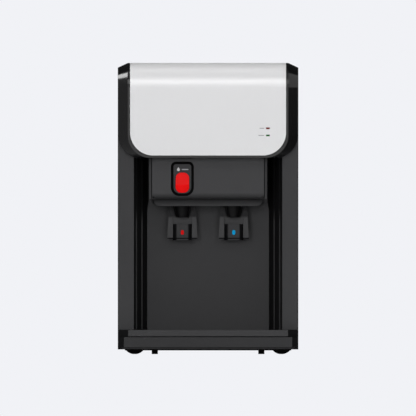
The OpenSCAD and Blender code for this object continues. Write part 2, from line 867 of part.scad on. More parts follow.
module tap_lever() {
  gap = pad_w/2 + 0.2;
  difference() {
    union() {
      both_sides() {
        along_x(arm_in, arm_out) union() {
          translate([pivot_y, pivot_z]) circle(6);
          polygon([[pivot_y - 4.5, pivot_z - 4], [lever_y0, -8], [lever_y1, -8], [lever_y1, 2],
            [pivot_y + 5.5, pivot_z + 2.4]]);
          polygon([[pivot_y, pivot_z + 5.5], [2.6, pivot_z + 3], [2.6, pivot_z - 3],
            [pivot_y, pivot_z - 5.5]]);
        }
        rod_x(0, pivot_z, 2, stem_r + 1.5, arm_in + 0.5);
        along_y(lever_y0 - 6, lever_y0 + 0.5)
          polygon([[gap, lever_z], [lever_w/2, lever_z], [lever_edge(cheek_z), cheek_z], [gap, cheek_z]]);
      }
      along_y(lever_y0, lever_y1) difference() {
        polygon([[-arm_out, 2], [arm_out, 2], [lever_w/2, lever_z], [-lever_w/2, lever_z]]);
        polygon([[-arm_in, 3], [arm_in, 3], [11, -20], [-11, -20]]);
      }
    }
    rod_x(pivot_y, pivot_z, pin_d/2 + run_fit, -arm_out - 1, arm_out + 1);
  }
}

module tap_pad() {
  intersection() {
    translate([0, lever_y0 - pad_bulge + pad_side + 1, lever_z - pad_tail])
      linear_extrude(pad_top - lever_z + pad_tail) rounded_rect(pad_w, 2*pad_side + 2, pad_side);
    block([-pad_w/2, lever_y0 - pad_bulge - 1, lever_z - pad_tail - 1], [pad_w/2, lever_y0, pad_top + 1]);
  }
  block([-lever_w/2, lever_y0 - 8, lever_z - lip_t], [lever_w/2, lever_y1, lever_z]);
}

module tap_mark() {
  along_y(lever_y0 - pad_bulge - 0.5, lever_y0 - pad_bulge - 0.02) translate([0, mark_z])
    rounded_rect(5.4, 8.1, 2.6);
}

module hot_tap_body() { color([0.10, 0.10, 0.10]) at_tap(-1) tap_body(1); }
module hot_spout() { color([0.06, 0.06, 0.06]) at_tap(-1) tap_spout(); }
module hot_stem() { color([0.85, 0.85, 0.82]) at_tap(-1) tap_stem(); }
module hot_spring() { color([0.70, 0.70, 0.72]) at_tap(-1) tap_spring(); }
module hot_lever() { color([0.22, 0.22, 0.23]) at_tap(-1) tap_lever(); }
module hot_paddle_pad() { color([0.07, 0.07, 0.07]) at_tap(-1) tap_pad(); }
module hot_mark() { color([0.85, 0.07, 0.07]) at_tap(-1) tap_mark(); }
module cold_tap_body() { color([0.10, 0.10, 0.10]) at_tap(1) tap_body(-1); }
module cold_spout() { color([0.06, 0.06, 0.06]) at_tap(1) tap_spout(); }
module cold_stem() { color([0.85, 0.85, 0.82]) at_tap(1) tap_stem(); }
module cold_spring() { color([0.70, 0.70, 0.72]) at_tap(1) tap_spring(); }
module cold_lever() { color([0.22, 0.22, 0.23]) at_tap(1) tap_lever(); }
module cold_paddle_pad() { color([0.07, 0.07, 0.07]) at_tap(1) tap_pad(); }
module cold_mark() { color([0.07, 0.64, 0.85]) at_tap(1) tap_mark(); }

module lever_pins() {
  color([0.72, 0.72, 0.74]) for (s = [-1, 1]) {
    at_tap(s) rod_x(pivot_y, pivot_z, pin_d/2, -arm_out - 0.8, arm_out + 0.8);
  }
}

module tap_nuts() {
  color([0.30, 0.30, 0.31]) for (s = [-1, 1]) {
    at_tap(s) translate([0, tap_reach + wall, shank_z]) rotate([-90, 0, 0]) difference() {
      cylinder(h = nut_t, r = nut_r, $fn = 6);
      translate([0, 0, -1]) cylinder(h = nut_t + 2, r = shank_r + run_fit);
    }
  }
}

// Rear

module rear_plate() {
  half = hw - wall - 0.4;
  color([0.35, 0.35, 0.36]) difference() {
    block([-half, y_sheet, base_top - 8], [half, y_plate, lid_z - 0.4]);
    for (i = [0:8], x = [22, 80]) {
      block([x, y_sheet - 1, 58 + 12*i], [x + 48, y_plate + 1, 63 + 12*i]);
    }
    both_sides() rear_screw_bores();
    for (z = [cond_z0, cond_z1]) {
      rod_y(tail_x, z, line_d/2 + 1, y_sheet - 1, y_plate + 1);
    }
    rod_y(hot_x, drain_z, hose_r + 0.5, y_sheet - 1, y_plate + 1);
    rod_y(inlet_x, inlet_z, 6.6, y_sheet - 1, y_plate + 1);
    rod_y(gland_x, gland_z, 7.2, y_sheet - 1, y_plate + 1);
    block([switch_x - 25.3, y_sheet - 1, switch_z - 14.3], [switch_x + 25.3, y_plate + 1, switch_z + 14.3]);
  }
}

module rear_screws() {
  color([0.75, 0.75, 0.77]) both_sides() for (z = [base_top + 18, (base_top + lid_z)/2, lid_z - 18]) {
    rod_y(hw - wall - 7, z, 1.6, y_sheet - wall - 0.5, y_plate + 0.5);
    rod_y(hw - wall - 7, z, 4, y_plate, y_plate + 2.2);
  }
}

// The condenser tube as rings along its path: to and fro over the rear, from the bottom up.
// Each ring holds its place across and up, and its direction.
function cond_run(i) = let (s = i % 2 == 0 ? -1 : 1, z = cond_z0 + i*cond_pitch)
  [[-s*cond_x, z, s, 0], [s*cond_x, z, s, 0]];

function cond_turn(i) = let (s = i % 2 == 0 ? -1 : 1, z = cond_z0 + (i + 0.5)*cond_pitch, r = cond_pitch/2)
  [for (a = [22.5:22.5:157.5]) [s*(cond_x + r*sin(a)), z - r*cos(a), s*cos(a), sin(a)]];

cond_rings = [for (i = [0:cond_runs - 1], q = concat(cond_run(i), i < cond_runs - 1 ? cond_turn(i) : [])) q];

module condenser_tube() {
  sides = 10;
  n = len(cond_rings);
  pts = [for (q = cond_rings, k = [0:sides - 1])
    let (b = 360*k/sides, u = cond_d/2*cos(b), v = cond_d/2*sin(b))
    [q[0] - u*q[3], cond_y + v, q[1] + u*q[2]]];
  walls = [for (i = [0:n - 2], k = [0:sides - 1])
    let (m = (k + 1) % sides)
    [i*sides + k, (i + 1)*sides + k, (i + 1)*sides + m, i*sides + m]];
  ends = [[for (k = [0:sides - 1]) k], [for (k = [0:sides - 1]) n*sides - 1 - k]];
  color([0.09, 0.09, 0.09]) polyhedron(points = pts, faces = concat(walls, ends), convexity = 10);
}

module condenser_wires() {
  n = floor((2*cond_x - 24)/wire_pitch);
  reach = cond_d/2 + wire_d/2 + run_fit;
  color([0.08, 0.08, 0.08]) for (i = [0:n], s = [-1, 1]) {
    rod_z((i - n/2)*wire_pitch, cond_y + s*reach, wire_d/2, cond_z0 - 9, cond_z1 + 9);
  }
}

module condenser_brackets() {
  color([0.30, 0.30, 0.31]) for (sx = [-1, 1], i = [1, cond_runs - 2]) {
    x = sx*(cond_x - 4);
    z = cond_z0 + i*cond_pitch;
    difference() {
      block([x - 3.5, y_plate, z - 6], [x + 3.5, cond_y + 6, z + 6]);
      rod_x(cond_y, z, cond_d/2 + run_fit, x - 5, x + 5);
    }
  }
}

module inlet_fitting() {
  color([0.80, 0.80, 0.82]) difference() {
    union() {
      rod_y(inlet_x, inlet_z, 6.4, y_sheet - 10, y_plate + 1);
      translate([inlet_x, y_plate, inlet_z]) rotate([-90, 0, 0]) cylinder(h = 4, r = 10, $fn = 6);
      rod_y(inlet_x, inlet_z, 7.6, y_plate + 3, y_plate + 16);
    }
    rod_y(inlet_x, inlet_z, inlet_bore/2, y_plate - 2, y_plate + 17);
    rod_y(inlet_x, inlet_z, 2, y_sheet - 11, y_plate - 1);
  }
}

module drain_cap() {
  color([0.12, 0.12, 0.12]) difference() {
    rod_y(hot_x, drain_z, hose_r + 4, y_plate + 0.6, y_plate + 15.2);
    rod_y(hot_x, drain_z, hose_r + fit, y_plate - 1, y_plate + 12.2);
  }
}

module cord_gland() {
  color([0.07, 0.07, 0.07]) difference() {
    union() {
      rod_y(gland_x, gland_z, 7, y_sheet - 12, y_plate + 1);
      rod_y(gland_x, gland_z, 10, y_plate, y_plate + 3);
    }
    rod_y(gland_x, gland_z, gland_bore/2, y_sheet - 13, y_plate + 4);
  }
}

module switch_frame() {
  w = rocker_w/2 + 0.3;
  h = rocker_r + 0.3;
  color([0.09, 0.09, 0.09]) difference() {
    union() {
      along_y(y_plate, y_plate + 2) translate([switch_x, switch_z]) rounded_rect(frame_w, frame_h, frame_rim);
      block([switch_x - frame_w/2 + frame_rim, y_plate - frame_d, switch_z - frame_h/2 + frame_rim],
        [switch_x + frame_w/2 - frame_rim, y_plate + 0.5, switch_z + frame_h/2 - frame_rim]);
    }
    for (s = [-1, 1]) {
      x = switch_x + s*rocker_gap/2;
      block([x - w, y_plate - frame_d + 2, switch_z - h], [x + w, y_plate + 3, switch_z + h]);
      rod_x(rocker_y, switch_z, 2 + run_fit, x - w - 1.8, x + w + 1.8);
    }
  }
}

module rocker(s) {
  x = switch_x + s*rocker_gap/2;
  translate([x, rocker_y, switch_z]) rotate([rocker_tilt, 0, 0]) {
    along_x(-rocker_w/2, rocker_w/2) intersection() {
      circle(rocker_r);
      polygon([[-8, -12], [8.9, -12], [6.5, 0], [8.9, 12], [-8, 12]]);
    }
    rod_x(0, 0, 2, -rocker_w/2 - 1.6, rocker_w/2 + 1.6);
  }
}

module hot_switch() { color([0.70, 0.08, 0.07]) rocker(-1); }
module cold_switch() { color([0.10, 0.35, 0.60]) rocker(1); }

// Inner pieces

module compressor() {
  r = comp_d/2;
  q = comp_round;
  color([0.07, 0.07, 0.075]) union() {
    translate([comp_x, comp_y, comp_z - 0.5]) rotate_extrude() intersection() {
      union() {
        translate([0, q]) square([r, comp_h - 2*q]);
        square([r - q, comp_h]);
        translate([r - q, q]) circle(q);
        translate([r - q, comp_h - q]) circle(q);
      }
      square([r + 1, comp_h + 1]);
    }
    block([comp_x - comp_base_w/2, comp_y - comp_base_d/2, comp_foot],
      [comp_x + comp_base_w/2, comp_y + comp_base_d/2, comp_foot + comp_base_t]);
    rod_z(disch_x, disch_y, 4.5, comp_z + 80, comp_top + 8);
    rod_x(tank_y, suct_z, 4.5, comp_x, comp_x + r + 6);
  }
}

module compressor_grommets() {
  color([0.06, 0.06, 0.06]) for (sx = [-1, 1], sy = [-1, 1]) {
    rod_z(comp_x + sx*(comp_base_w/2 - grommet_in), comp_y + sy*(comp_base_d/2 - grommet_in), grommet_r,
      floor_z, comp_foot);
  }
}

// Places where hoses and lines pass through the shelf
module shelf_bores(z0, z1) {
  rod_z(tap_pitch/2, y_tap + spigot_y, hose_r + 1, z0, z1);
  rod_z(inlet_x, y_sheet - 24, hose_r + 1, z0, z1);
  tank_bores(z0, z1);
}

module tank_bores(z0, z1) {
  rod_z(out_x, tank_y, hose_r + 0.5, z0, z1);
  rod_z(cold_x - feed_x, tank_y + feed_y, hose_r + 0.5, z0, z1);
  rod_z(hot_x, tank_y + feed_y, hose_r + 0.5, z0, z1);
  rod_z(hot_x, tank_y - drain_y, hose_r + 0.5, z0, z1);
  rod_z(suct_x, tank_y, line_d/2 + 0.4, z0, z1);
}

module tank_shelf() {
  half = hw - wall - 0.5;
  color([0.66, 0.67, 0.69]) difference() {
    block([-half, y_room + 0.5, shelf_z], [half, y_sheet - wall - 0.8, shelf_top]);
    shelf_bores(shelf_z - 1, shelf_top + 1);
  }
}

module cold_tank() {
  color([0.78, 0.79, 0.80]) difference() {
    rod_z(cold_x, tank_y, cold_d/2, cold_z, cold_z + cold_h);
    rod_z(cold_x, tank_y, cold_d/2 - 1, cold_z + 1, cold_z + cold_h + 1);
    rod_z(out_x, tank_y, 3, cold_z - 1, cold_z + 2);
    rod_z(cold_x - feed_x, tank_y + feed_y, 3, cold_z - 1, cold_z + 2);
  }
}

module cold_tank_lid() {
  color([0.85, 0.85, 0.86]) difference() {
    rod_z(cold_x, tank_y, cold_d/2 + 0.5, cold_z + cold_h, lid_top);
    rod_z(float_x, tank_y, 6.3, cold_z, lid_top + 1);
  }
}

module evaporator_coil() {
  color([0.72, 0.45, 0.20]) translate([cold_x, tank_y, cold_z + 12])
    winding(coil_r, coil_d, 7.25, cold_h - 30, 28, 6);
}

module tank_insulation() {
  color([0.92, 0.92, 0.90]) difference() {
    union() {
      rod_z(cold_x, tank_y, cold_foam_r, shelf_top, cold_z + cold_h);
      rod_z(hot_x, tank_y, hot_foam_r, shelf_top, hot_z + hot_h - 6);
    }
    rod_z(cold_x, tank_y, cold_in_r, cold_z, cold_z + cold_h + 1);
    rod_z(hot_x, tank_y, hot_in_r, hot_z, hot_z + hot_h + 1);
    tank_bores(shelf_top - 1, cold_z + 1);
  }
}

module hot_tank() {
  color([0.76, 0.77, 0.78]) difference() {
    rod_z(hot_x, tank_y, hot_d/2, hot_z, hot_z + hot_h);
    rod_z(hot_x, tank_y, hot_d/2 - 1, hot_z + 1, hot_z + hot_h - 1);
    rod_z(hot_x, tank_y + feed_y, 3, hot_z - 1, hot_z + 2);
    rod_z(hot_x, tank_y - drain_y, 3, hot_z - 1, hot_z + 2);
    rod_z(hot_x + 12, tank_y, 3, hot_z + hot_h - 2, hot_z + hot_h + 1);
  }
}

module heater_band() {
  color([0.55, 0.50, 0.42]) difference() {
    rod_z(hot_x, tank_y, hot_d/2 + band_t, hot_z + band_low, hot_z + band_low + band_h);
    rod_z(hot_x, tank_y, hot_d/2 + run_fit, hot_z + band_low - 1, hot_z + band_low + band_h + 1);
  }
}

module float_valve() {
  color([0.88, 0.88, 0.88]) difference() {
    union() {
      rod_z(float_x, tank_y, 6, float_z - 6, valve_top);
      rod_z(float_x, tank_y, 10, lid_top, lid_top + 3);
      for (s = [-1, 1]) {
        block([float_x, tank_y + s*4.8 - 1.3, float_z - 5],
          [float_x + 15, tank_y + s*4.8 + 1.3, float_z + 5]);
      }
      rod_y(float_x + float_pin, float_z, 2, tank_y - 6, tank_y + 6);
    }
    rod_z(float_x, tank_y, 2, float_z - 2, valve_top + 1);
  }
}

module float_arm() {
  color([0.93, 0.93, 0.90]) difference() {
    union() {
      rod_y(float_x + float_pin, float_z, 4.5, tank_y - 3.1, tank_y + 3.1);
      rod_x(tank_y, float_z, 2.5, float_x + float_pin + 1, float_x + float_reach - 5);
      translate([float_x + float_reach, tank_y, float_z - 4]) sphere(float_r);
    }
    rod_y(float_x + float_pin, float_z, 2 + run_fit, tank_y - 4, tank_y + 4);
  }
}

module hose(pts) {
  pipe(pts, hose_d, bend);
}

module water_hoses() {
  low = shelf_z - 15;
  high = hot_z + hot_h + 36;
  over = valve_top + bend + 2;
  y_sp = y_tap + spigot_y;
  y_in = y_sheet - 10;
  xt = tap_pitch/2;
  xh = hot_x + 12;
  color([0.86, 0.87, 0.88]) {
    hose([[xt, y_sp, hb_z + shank_z - spigot_len], [xt, y_sp, low], [xt, tank_y, low],
      [out_x, tank_y, low], [out_x, tank_y, cold_z]]);
    hose([[xh, tank_y, hot_z + hot_h], [xh, tank_y, high], [xh, y_sp, high], [-xt, y_sp, high],
      [-xt, y_sp, hb_z + shank_z + spigot_len]]);
    hose([[cold_x - feed_x, tank_y + feed_y, cold_z], [cold_x - feed_x, tank_y + feed_y, low],
      [hot_x, tank_y + feed_y, low], [hot_x, tank_y + feed_y, hot_z]]);
    hose([[inlet_x, y_in, inlet_z], [inlet_x, y_in - 14, inlet_z], [inlet_x, y_in - 14, over],
      [inlet_x, tank_y, over], [float_x, tank_y, over], [float_x, tank_y, valve_top]]);
    hose([[hot_x, tank_y - drain_y, hot_z], [hot_x, tank_y - drain_y, drain_z],
      [hot_x, y_plate + 12, drain_z]]);
  }
}

module refrigerant_lines() {
  color([0.72, 0.45, 0.20]) {
    pipe([[disch_x, disch_y, comp_top + 8], [disch_x, disch_y, cond_z0], [tail_x, disch_y, cond_z0],
      [tail_x, cond_y, cond_z0], [cond_x, cond_y, cond_z0]], line_d, 8);
    pipe([[cold_x, tank_y + coil_r, cold_z + cold_h - 17.8 + coil_d/2], [cold_x, tank_y + coil_r, cond_z1],
      [tail_x, tank_y + coil_r, cond_z1], [tail_x, cond_y, cond_z1], [cond_x, cond_y, cond_z1]], line_d, 8);
    pipe([[suct_x, tank_y, cold_z + 8], [suct_x, tank_y, suct_z], [comp_x + comp_d/2 + 6, tank_y, suct_z]],
      line_d, 8);
  }
}

module control_box() {
  color([0.80, 0.80, 0.78]) difference() {
    block([box_x, box_y, floor_z], [box_x + box_w, box_y + box_d, floor_z + box_h]);
    block([box_x + box_t, box_y + box_t, floor_z - 1],
      [box_x + box_w - box_t, box_y + box_d - box_t, floor_z + box_h - box_t]);
  }
}

base_plinth();
drip_tray();
drip_grille();
front_feet();
rear_feet();
left_side_panel();
right_side_panel();
top_cover();
head_bezel();
fascia_panel();
hot_indicator();
power_indicator();
indicator_board();
niche_liner();
tap_housing();
safety_plate();
safety_button();
safety_spring();
safety_guide();
hot_tap_body();
hot_spout();
hot_stem();
hot_spring();
hot_lever();
hot_paddle_pad();
hot_mark();
cold_tap_body();
cold_spout();
cold_stem();
cold_spring();
cold_lever();
cold_paddle_pad();
cold_mark();
lever_pins();
tap_nuts();
rear_plate();
rear_screws();
condenser_tube();
condenser_wires();
condenser_brackets();
compressor();
compressor_grommets();
tank_shelf();
cold_tank();
cold_tank_lid();
evaporator_coil();
tank_insulation();
hot_tank();
heater_band();
float_valve();
float_arm();
water_hoses();
refrigerant_lines();
inlet_fitting();
drain_cap();
switch_frame();
hot_switch();
cold_switch();
cord_gland();
control_box();
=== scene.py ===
# %% [markdown]
# # A benchtop water dispenser, dressed for a photograph
# The solids come from the part's own CAD source. Each one already has its place and its joint.
# This lesson gives them a camera, a studio, believable finishes and the few printed marks that a
# solid model leaves out. Lengths are in metres, and every pattern is measured in the part's own frame.

# %% Load the solids as a fixed frame
import bpy
import bmesh
import math
from mathutils import Matrix, Vector


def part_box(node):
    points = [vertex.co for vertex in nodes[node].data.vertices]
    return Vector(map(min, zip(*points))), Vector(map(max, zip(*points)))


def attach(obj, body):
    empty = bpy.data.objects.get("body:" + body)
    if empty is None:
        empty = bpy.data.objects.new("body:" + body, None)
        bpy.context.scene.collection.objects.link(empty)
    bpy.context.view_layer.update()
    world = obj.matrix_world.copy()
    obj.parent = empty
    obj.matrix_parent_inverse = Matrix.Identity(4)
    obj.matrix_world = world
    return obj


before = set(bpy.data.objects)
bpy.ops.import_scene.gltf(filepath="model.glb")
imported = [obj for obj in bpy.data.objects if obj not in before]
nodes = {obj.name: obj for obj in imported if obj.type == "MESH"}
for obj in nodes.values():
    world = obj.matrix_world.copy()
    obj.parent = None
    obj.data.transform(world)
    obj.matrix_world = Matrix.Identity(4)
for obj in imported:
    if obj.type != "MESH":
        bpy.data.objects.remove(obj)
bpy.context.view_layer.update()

# %% [markdown]
# ## The camera
# The front is seen square on: the two side walls of the niche are equally wide, and its floor shows
# as a line. A very long lens would do, but a parallel camera gives the same picture with
# one number, the width of the frame. The photograph is 416 pixels wide and the case spans 180.5
# of them for its 310 mm, so one pixel is 1.7175 mm.

# %% Aim a parallel camera at the front
PICTURE_WIDTH = 416
PIXEL = 0.0017175


def put(name, data):
    """A new object in the scene, at the origin."""
    made = bpy.data.objects.new(name, data)
    bpy.context.scene.collection.objects.link(made)
    return made


sight = bpy.data.cameras.new("front_camera")
sight.type = "ORTHO"
sight.ortho_scale = PICTURE_WIDTH * PIXEL
sight.clip_end = 20
camera = put("front_camera", sight)
camera.location = (-0.0001, -3.0, 0.2509)
camera.rotation_euler = (math.radians(90), 0, 0)
bpy.context.scene.camera = camera
print("frame width in mm:", round(1000 * sight.ortho_scale, 1))

# %% [markdown]
# ## The surround
# Dark gloss plastic looks like what stands around it, so the studio matters more than usual here.
# A pale surround serves as background. What shines back from the plastic is set apart from it: paler
# on the left than on the right, dark behind, with one small bright patch straight in front. A third,
# dimmer tone fills the shadows. A real studio does this with white and black boards; here one world
# with three tones takes their place, and the kind of ray decides which of them it meets.

# %% Tones of the surround
bpy.context.scene.view_settings.view_transform = "Standard"
PALE = (0.879, 0.888, 0.922)
FILL = (0.5, 0.5, 0.51)
FILL_STRENGTH = 0.42
# What shines back, as stops of two grey ramps: place from 0 to 1, level.
LEFT_TO_RIGHT = ((0, 0.95), (0.15, 0.9), (0.45, 1.0), (0.55, 1.0), (0.85, 0.11), (1, 0.18))
FRONT_TO_BACK = ((0, 1.8), (0.005, 1.8), (0.016, 0.24), (0.3, 0.75), (0.42, 0.72), (0.5, 0.1), (1, 0.03))
MIX_A, MIX_B, MIX_OUT = 6, 7, 2  # the colour sockets of a Mix node

studio = bpy.data.worlds.new("studio")
bpy.context.scene.world = studio
studio.use_nodes = True
sky = studio.node_tree
sky.nodes.clear()
print("background", PALE)

# %% Small helpers for the surround


def sky_node(kind, **settings):
    made = sky.nodes.new(kind)
    for key, value in settings.items():
        setattr(made, key, value)
    return made


def ramp(value, stops):
    """A grey ramp over a value that runs from -1 to 1."""
    span = sky_node("ShaderNodeMapRange")
    span.inputs["From Min"].default_value, span.inputs["From Max"].default_value = -1, 1
    tones = sky_node("ShaderNodeValToRGB")
    ends = tones.color_ramp.elements
    for place, level in stops:
        stop = ends.new(place) if 0 < place < 1 else ends[-1 if place else 0]
        stop.color = (level, level, level, 1)
    sky.links.new(value, span.inputs["Value"])
    sky.links.new(span.outputs["Result"], tones.inputs["Fac"])
    return tones.outputs["Color"]


def choose(factor, first, second):
    """The first shader where the factor is 0, the second where it is 1."""
    made = sky_node("ShaderNodeMixShader")
    for socket, output in zip(made.inputs, (factor, first, second)):
        sky.links.new(output, socket)
    return made.outputs[0]


print("helpers for the surround are ready")

# %% Join the three tones
ray = sky_node("ShaderNodeLightPath")
way = sky_node("ShaderNodeSeparateXYZ")
sky.links.new(sky_node("ShaderNodeTexCoord").outputs["Generated"], way.inputs[0])
both = sky_node("ShaderNodeMix", data_type="RGBA", blend_type="MULTIPLY")
both.inputs["Factor"].default_value = 1
sky.links.new(ramp(way.outputs["X"], LEFT_TO_RIGHT), both.inputs[MIX_A])
sky.links.new(ramp(way.outputs["Y"], FRONT_TO_BACK), both.inputs[MIX_B])

seen = sky_node("ShaderNodeBackground")
seen.inputs["Color"].default_value = (*PALE, 1)
shone = sky_node("ShaderNodeBackground")
sky.links.new(both.outputs[MIX_OUT], shone.inputs["Color"])
lit = sky_node("ShaderNodeBackground")
lit.inputs["Color"].default_value = (*FILL, 1)
lit.inputs["Strength"].default_value = FILL_STRENGTH

straight = sky_node("ShaderNodeMath", operation="MAXIMUM")
sky.links.new(ray.outputs["Is Camera Ray"], straight.inputs[0])
sky.links.new(ray.outputs["Is Transmission Ray"], straight.inputs[1])
lit_or_shone = choose(ray.outputs["Is Glossy Ray"], lit.outputs[0], shone.outputs[0])
surround = choose(straight.outputs[0], lit_or_shone, seen.outputs[0])
sky.links.new(surround, sky_node("ShaderNodeOutputWorld").inputs["Surface"])
print("surround of", len(sky.nodes), "nodes")

# %% [markdown]
# ## The lamps
# The lamps are split in the same way. Two in front and one overhead work as if polarised: they light
# without glare, so the black stays deep. A strip in front and above, which draws the bright line along
# the curved top of the fascia, and one panel on each side, which leave the patches on the head's
# corners, only shine. A lamp behind, without glare too, lights the condenser for the other views.

# %% Seven soft lamps
NO_GLARE, ONLY_SHINE = "visible_glossy", "visible_diffuse"  # the kind of ray that passes the lamp by
LAMPS = (  # name, place, aim, width, height, watts, kind
    ("front_left", (-0.62, -3.3, 0.6), (0, -0.15, 0.25), 0.6, 1.0, 30.5, NO_GLARE),
    ("front_right", (0.6, -3.3, 0.6), (0, -0.15, 0.25), 0.6, 1.0, 16.5, NO_GLARE),
    ("strip_above", (0, -2.75, 1.78), (0, -0.15, 0.45), 3.0, 1.15, 35, ONLY_SHINE),
    ("overhead", (0, -0.1, 2.3), (0, -0.1, 0), 1.6, 0.6, 22, NO_GLARE),
    ("left_high", (-1.54, -0.55, 2.14), (-0.15, -0.16, 0.48), 0.6, 1.1, 31, ONLY_SHINE),
    ("right_high", (2.11, -1.15, 1.56), (0.15, -0.61, 0.48), 2.5, 2.25, 22, ONLY_SHINE),
    ("back_fill", (0.9, 2.9, 1.3), (0, 0.1, 0.25), 1.6, 1.4, 46, NO_GLARE),
)
for name, place, aim, width, height, watts, passes in LAMPS:
    light = bpy.data.lights.new(name, "AREA")
    light.shape = "RECTANGLE"
    light.size, light.size_y, light.energy = width, height, watts
    lamp = put(name, light)
    lamp.location = place
    lamp.rotation_euler = (Vector(aim) - Vector(place)).to_track_quat("-Z", "Y").to_euler()
    setattr(lamp, passes, False)
print("lamps:", [lamp[0] for lamp in LAMPS])

# %% [markdown]
# ## How a finish is built
# Moulded plastic is never one flat colour. The tool leaves a fine texture, the resin clouds a
# little, the gloss changes from patch to patch, and every edge has a small radius that catches
# the light. Those four things could be painted as images, but noise in the part's own frame needs no
# unwrapping and stays sharp at any distance. The edge radius is shaded by the Bevel node, because a
# CAD mesh has hard edges that must not be touched.

# %% Colours, nodes and noise


def rgb(red, green, blue):
    """A colour picked from a picture, 0 to 255, as the linear values that a shader takes."""
    scaled = [c / 255 for c in (red, green, blue)]
    return tuple(c / 12.92 if c <= 0.04045 else ((c + 0.055) / 1.055) ** 2.4 for c in scaled)


def finish(name, **sockets):
    """A new material with its Principled sockets set: material, its shader and its place vector."""
    material = bpy.data.materials.new(name)
    material.use_nodes = True
    shader = material.node_tree.nodes["Principled BSDF"]
    for key, value in sockets.items():
        shader.inputs[key.replace("_", " ")].default_value = value
    place = material.node_tree.nodes.new("ShaderNodeTexCoord").outputs["Object"]
    return material, shader, place


def add(material, kind, values=(), **settings):
    made = material.node_tree.nodes.new(kind)
    for key, value in settings.items():
        setattr(made, key, value)
    for key, value in values:
        made.inputs[key].default_value = value
    return made


def noise(material, place, size, detail=2.0):
    """Noise whose blotches are about size metres across."""
    made = add(material, "ShaderNodeTexNoise", [("Scale", 0.6 / size), ("Detail", detail)])
    material.node_tree.links.new(place, made.inputs["Vector"])
    return made.outputs["Fac"]


def remap(material, value, low, high, start=0.3, end=0.7):
    """low up to start, high from end on; 0.3 to 0.7 is where most of a noise lies."""
    made = add(material, "ShaderNodeMapRange",
               [("From Min", start), ("From Max", end), ("To Min", low), ("To Max", high)])
    material.node_tree.links.new(value, made.inputs["Value"])
    return made.outputs["Result"]


print("black is", rgb(0, 0, 0), "and white", rgb(255, 255, 255))

# %% Blends and sums


def blend_colours(material, factor, first, second):
    """Each colour is three numbers or a socket."""
    made = add(material, "ShaderNodeMix", data_type="RGBA")
    material.node_tree.links.new(factor, made.inputs["Factor"])
    for socket, colour in ((made.inputs[MIX_A], first), (made.inputs[MIX_B], second)):
        if isinstance(colour, tuple):
            socket.default_value = (*colour, 1)
        else:
            material.node_tree.links.new(colour, socket)
    return made.outputs[MIX_OUT]


def reckon(material, operation, first, second=None):
    """One Math node; each entry is a socket or a number."""
    made = add(material, "ShaderNodeMath", operation=operation)
    for socket, entry in zip(made.inputs, (first, second)):
        if isinstance(entry, (int, float)):
            socket.default_value = entry
        elif entry is not None:
            material.node_tree.links.new(entry, socket)
    return made.outputs[0]


print("blends and sums are ready")

# %% Edges and relief
BEVEL_SAMPLES = 6


def edge_amount(material, radius):
    """0 on open faces, rising to 1 on outward or inward edges within the radius."""
    rounded = add(material, "ShaderNodeBevel", [("Radius", radius)], samples=BEVEL_SAMPLES)
    plain = add(material, "ShaderNodeNewGeometry")
    dot = add(material, "ShaderNodeVectorMath", operation="DOT_PRODUCT")
    material.node_tree.links.new(rounded.outputs[0], dot.inputs[0])
    material.node_tree.links.new(plain.outputs["Normal"], dot.inputs[1])
    return remap(material, dot.outputs["Value"], 1, 0, 0.72, 0.985)


def relief(material, shader, heights, radius=0.0006):
    """Bump from (value, strength, height in metres) layers, over a softly rounded edge."""
    normal = add(material, "ShaderNodeBevel", [("Radius", radius)], samples=BEVEL_SAMPLES).outputs[0]
    for value, strength, height in heights:
        bump = add(material, "ShaderNodeBump", [("Strength", strength), ("Distance", height)])
        material.node_tree.links.new(value, bump.inputs["Height"])
        material.node_tree.links.new(normal, bump.inputs["Normal"])
        normal = bump.outputs[0]
    material.node_tree.links.new(normal, shader.inputs["Normal"])


print("edges and relief are ready")

# %% Moulded plastic
CLOUD, GLOSS_PATCH = 0.045, 0.012  # sizes of the clouds in the resin and of the duller patches
# colour of the painted shade that the masks below put into corners, recesses and under parts
PAINTED_SHADE_BLACK = (0.004, 0.004, 0.0045)


def moulded(name, colour, rough, grain=0.00035, relief_height=0.00002, worn=0.25, radius=0.0006, painted_shade=None,
            **sockets):
    """Moulded plastic: clouded resin, a fine tool texture, uneven gloss and paler rubbed edges.
    A shade mask function, if given, makes a mask from the material and its place: 1 where shade is painted in as
    dull black."""
    material, shader, place = finish(name, **sockets)
    link = material.node_tree.links.new
    clouds = remap(material, noise(material, place, CLOUD, 3), 0, 1)
    resin = blend_colours(material, clouds, tuple(c * 0.98 for c in colour), tuple(c * 1.02 for c in colour))
    rubbed = tuple(min(1, c * 1.5 + 0.02) for c in colour)
    wear = reckon(material, "MULTIPLY", edge_amount(material, radius * 1.6), worn)
    tinted = blend_colours(material, wear, resin, rubbed)
    gloss = remap(material, noise(material, place, GLOSS_PATCH, 4), rough * 0.95, rough * 1.05)
    # painted shade: black and matt wherever the shade mask says
    if painted_shade:
        mask = painted_shade(material, place)
        tinted = blend_colours(material, mask, tinted, PAINTED_SHADE_BLACK)
        gloss = reckon(material, "MAXIMUM", gloss, mask)
    link(tinted, shader.inputs["Base Color"])
    link(gloss, shader.inputs["Roughness"])
    relief(material, shader, [(noise(material, place, grain), 0.35, relief_height)], radius)
    return material


print("moulded plastic is ready")

# %% [markdown]
# ## Where shade is painted black
# Deep corners of a nearly black object lose their light: the side walls of the niche, the underside of the tap
# housing and the pan under the base are almost black. Lamps alone would leave them grey or take the
# light from their neighbours as well. So the shade is painted: each such piece gets a mask, measured in its own
# frame, that says where painted shade turns its finish dull and black. The sloping corners of the base, the lever
# arms under the housing and the sides of the paddle pads get painted shade the same way. The limits are pairs:
# where the change starts and ends.

# %% Parts of a mask


def along(material, vector, axis):
    split = add(material, "ShaderNodeSeparateXYZ")
    material.node_tree.links.new(vector, split.inputs[0])
    return split.outputs[axis]


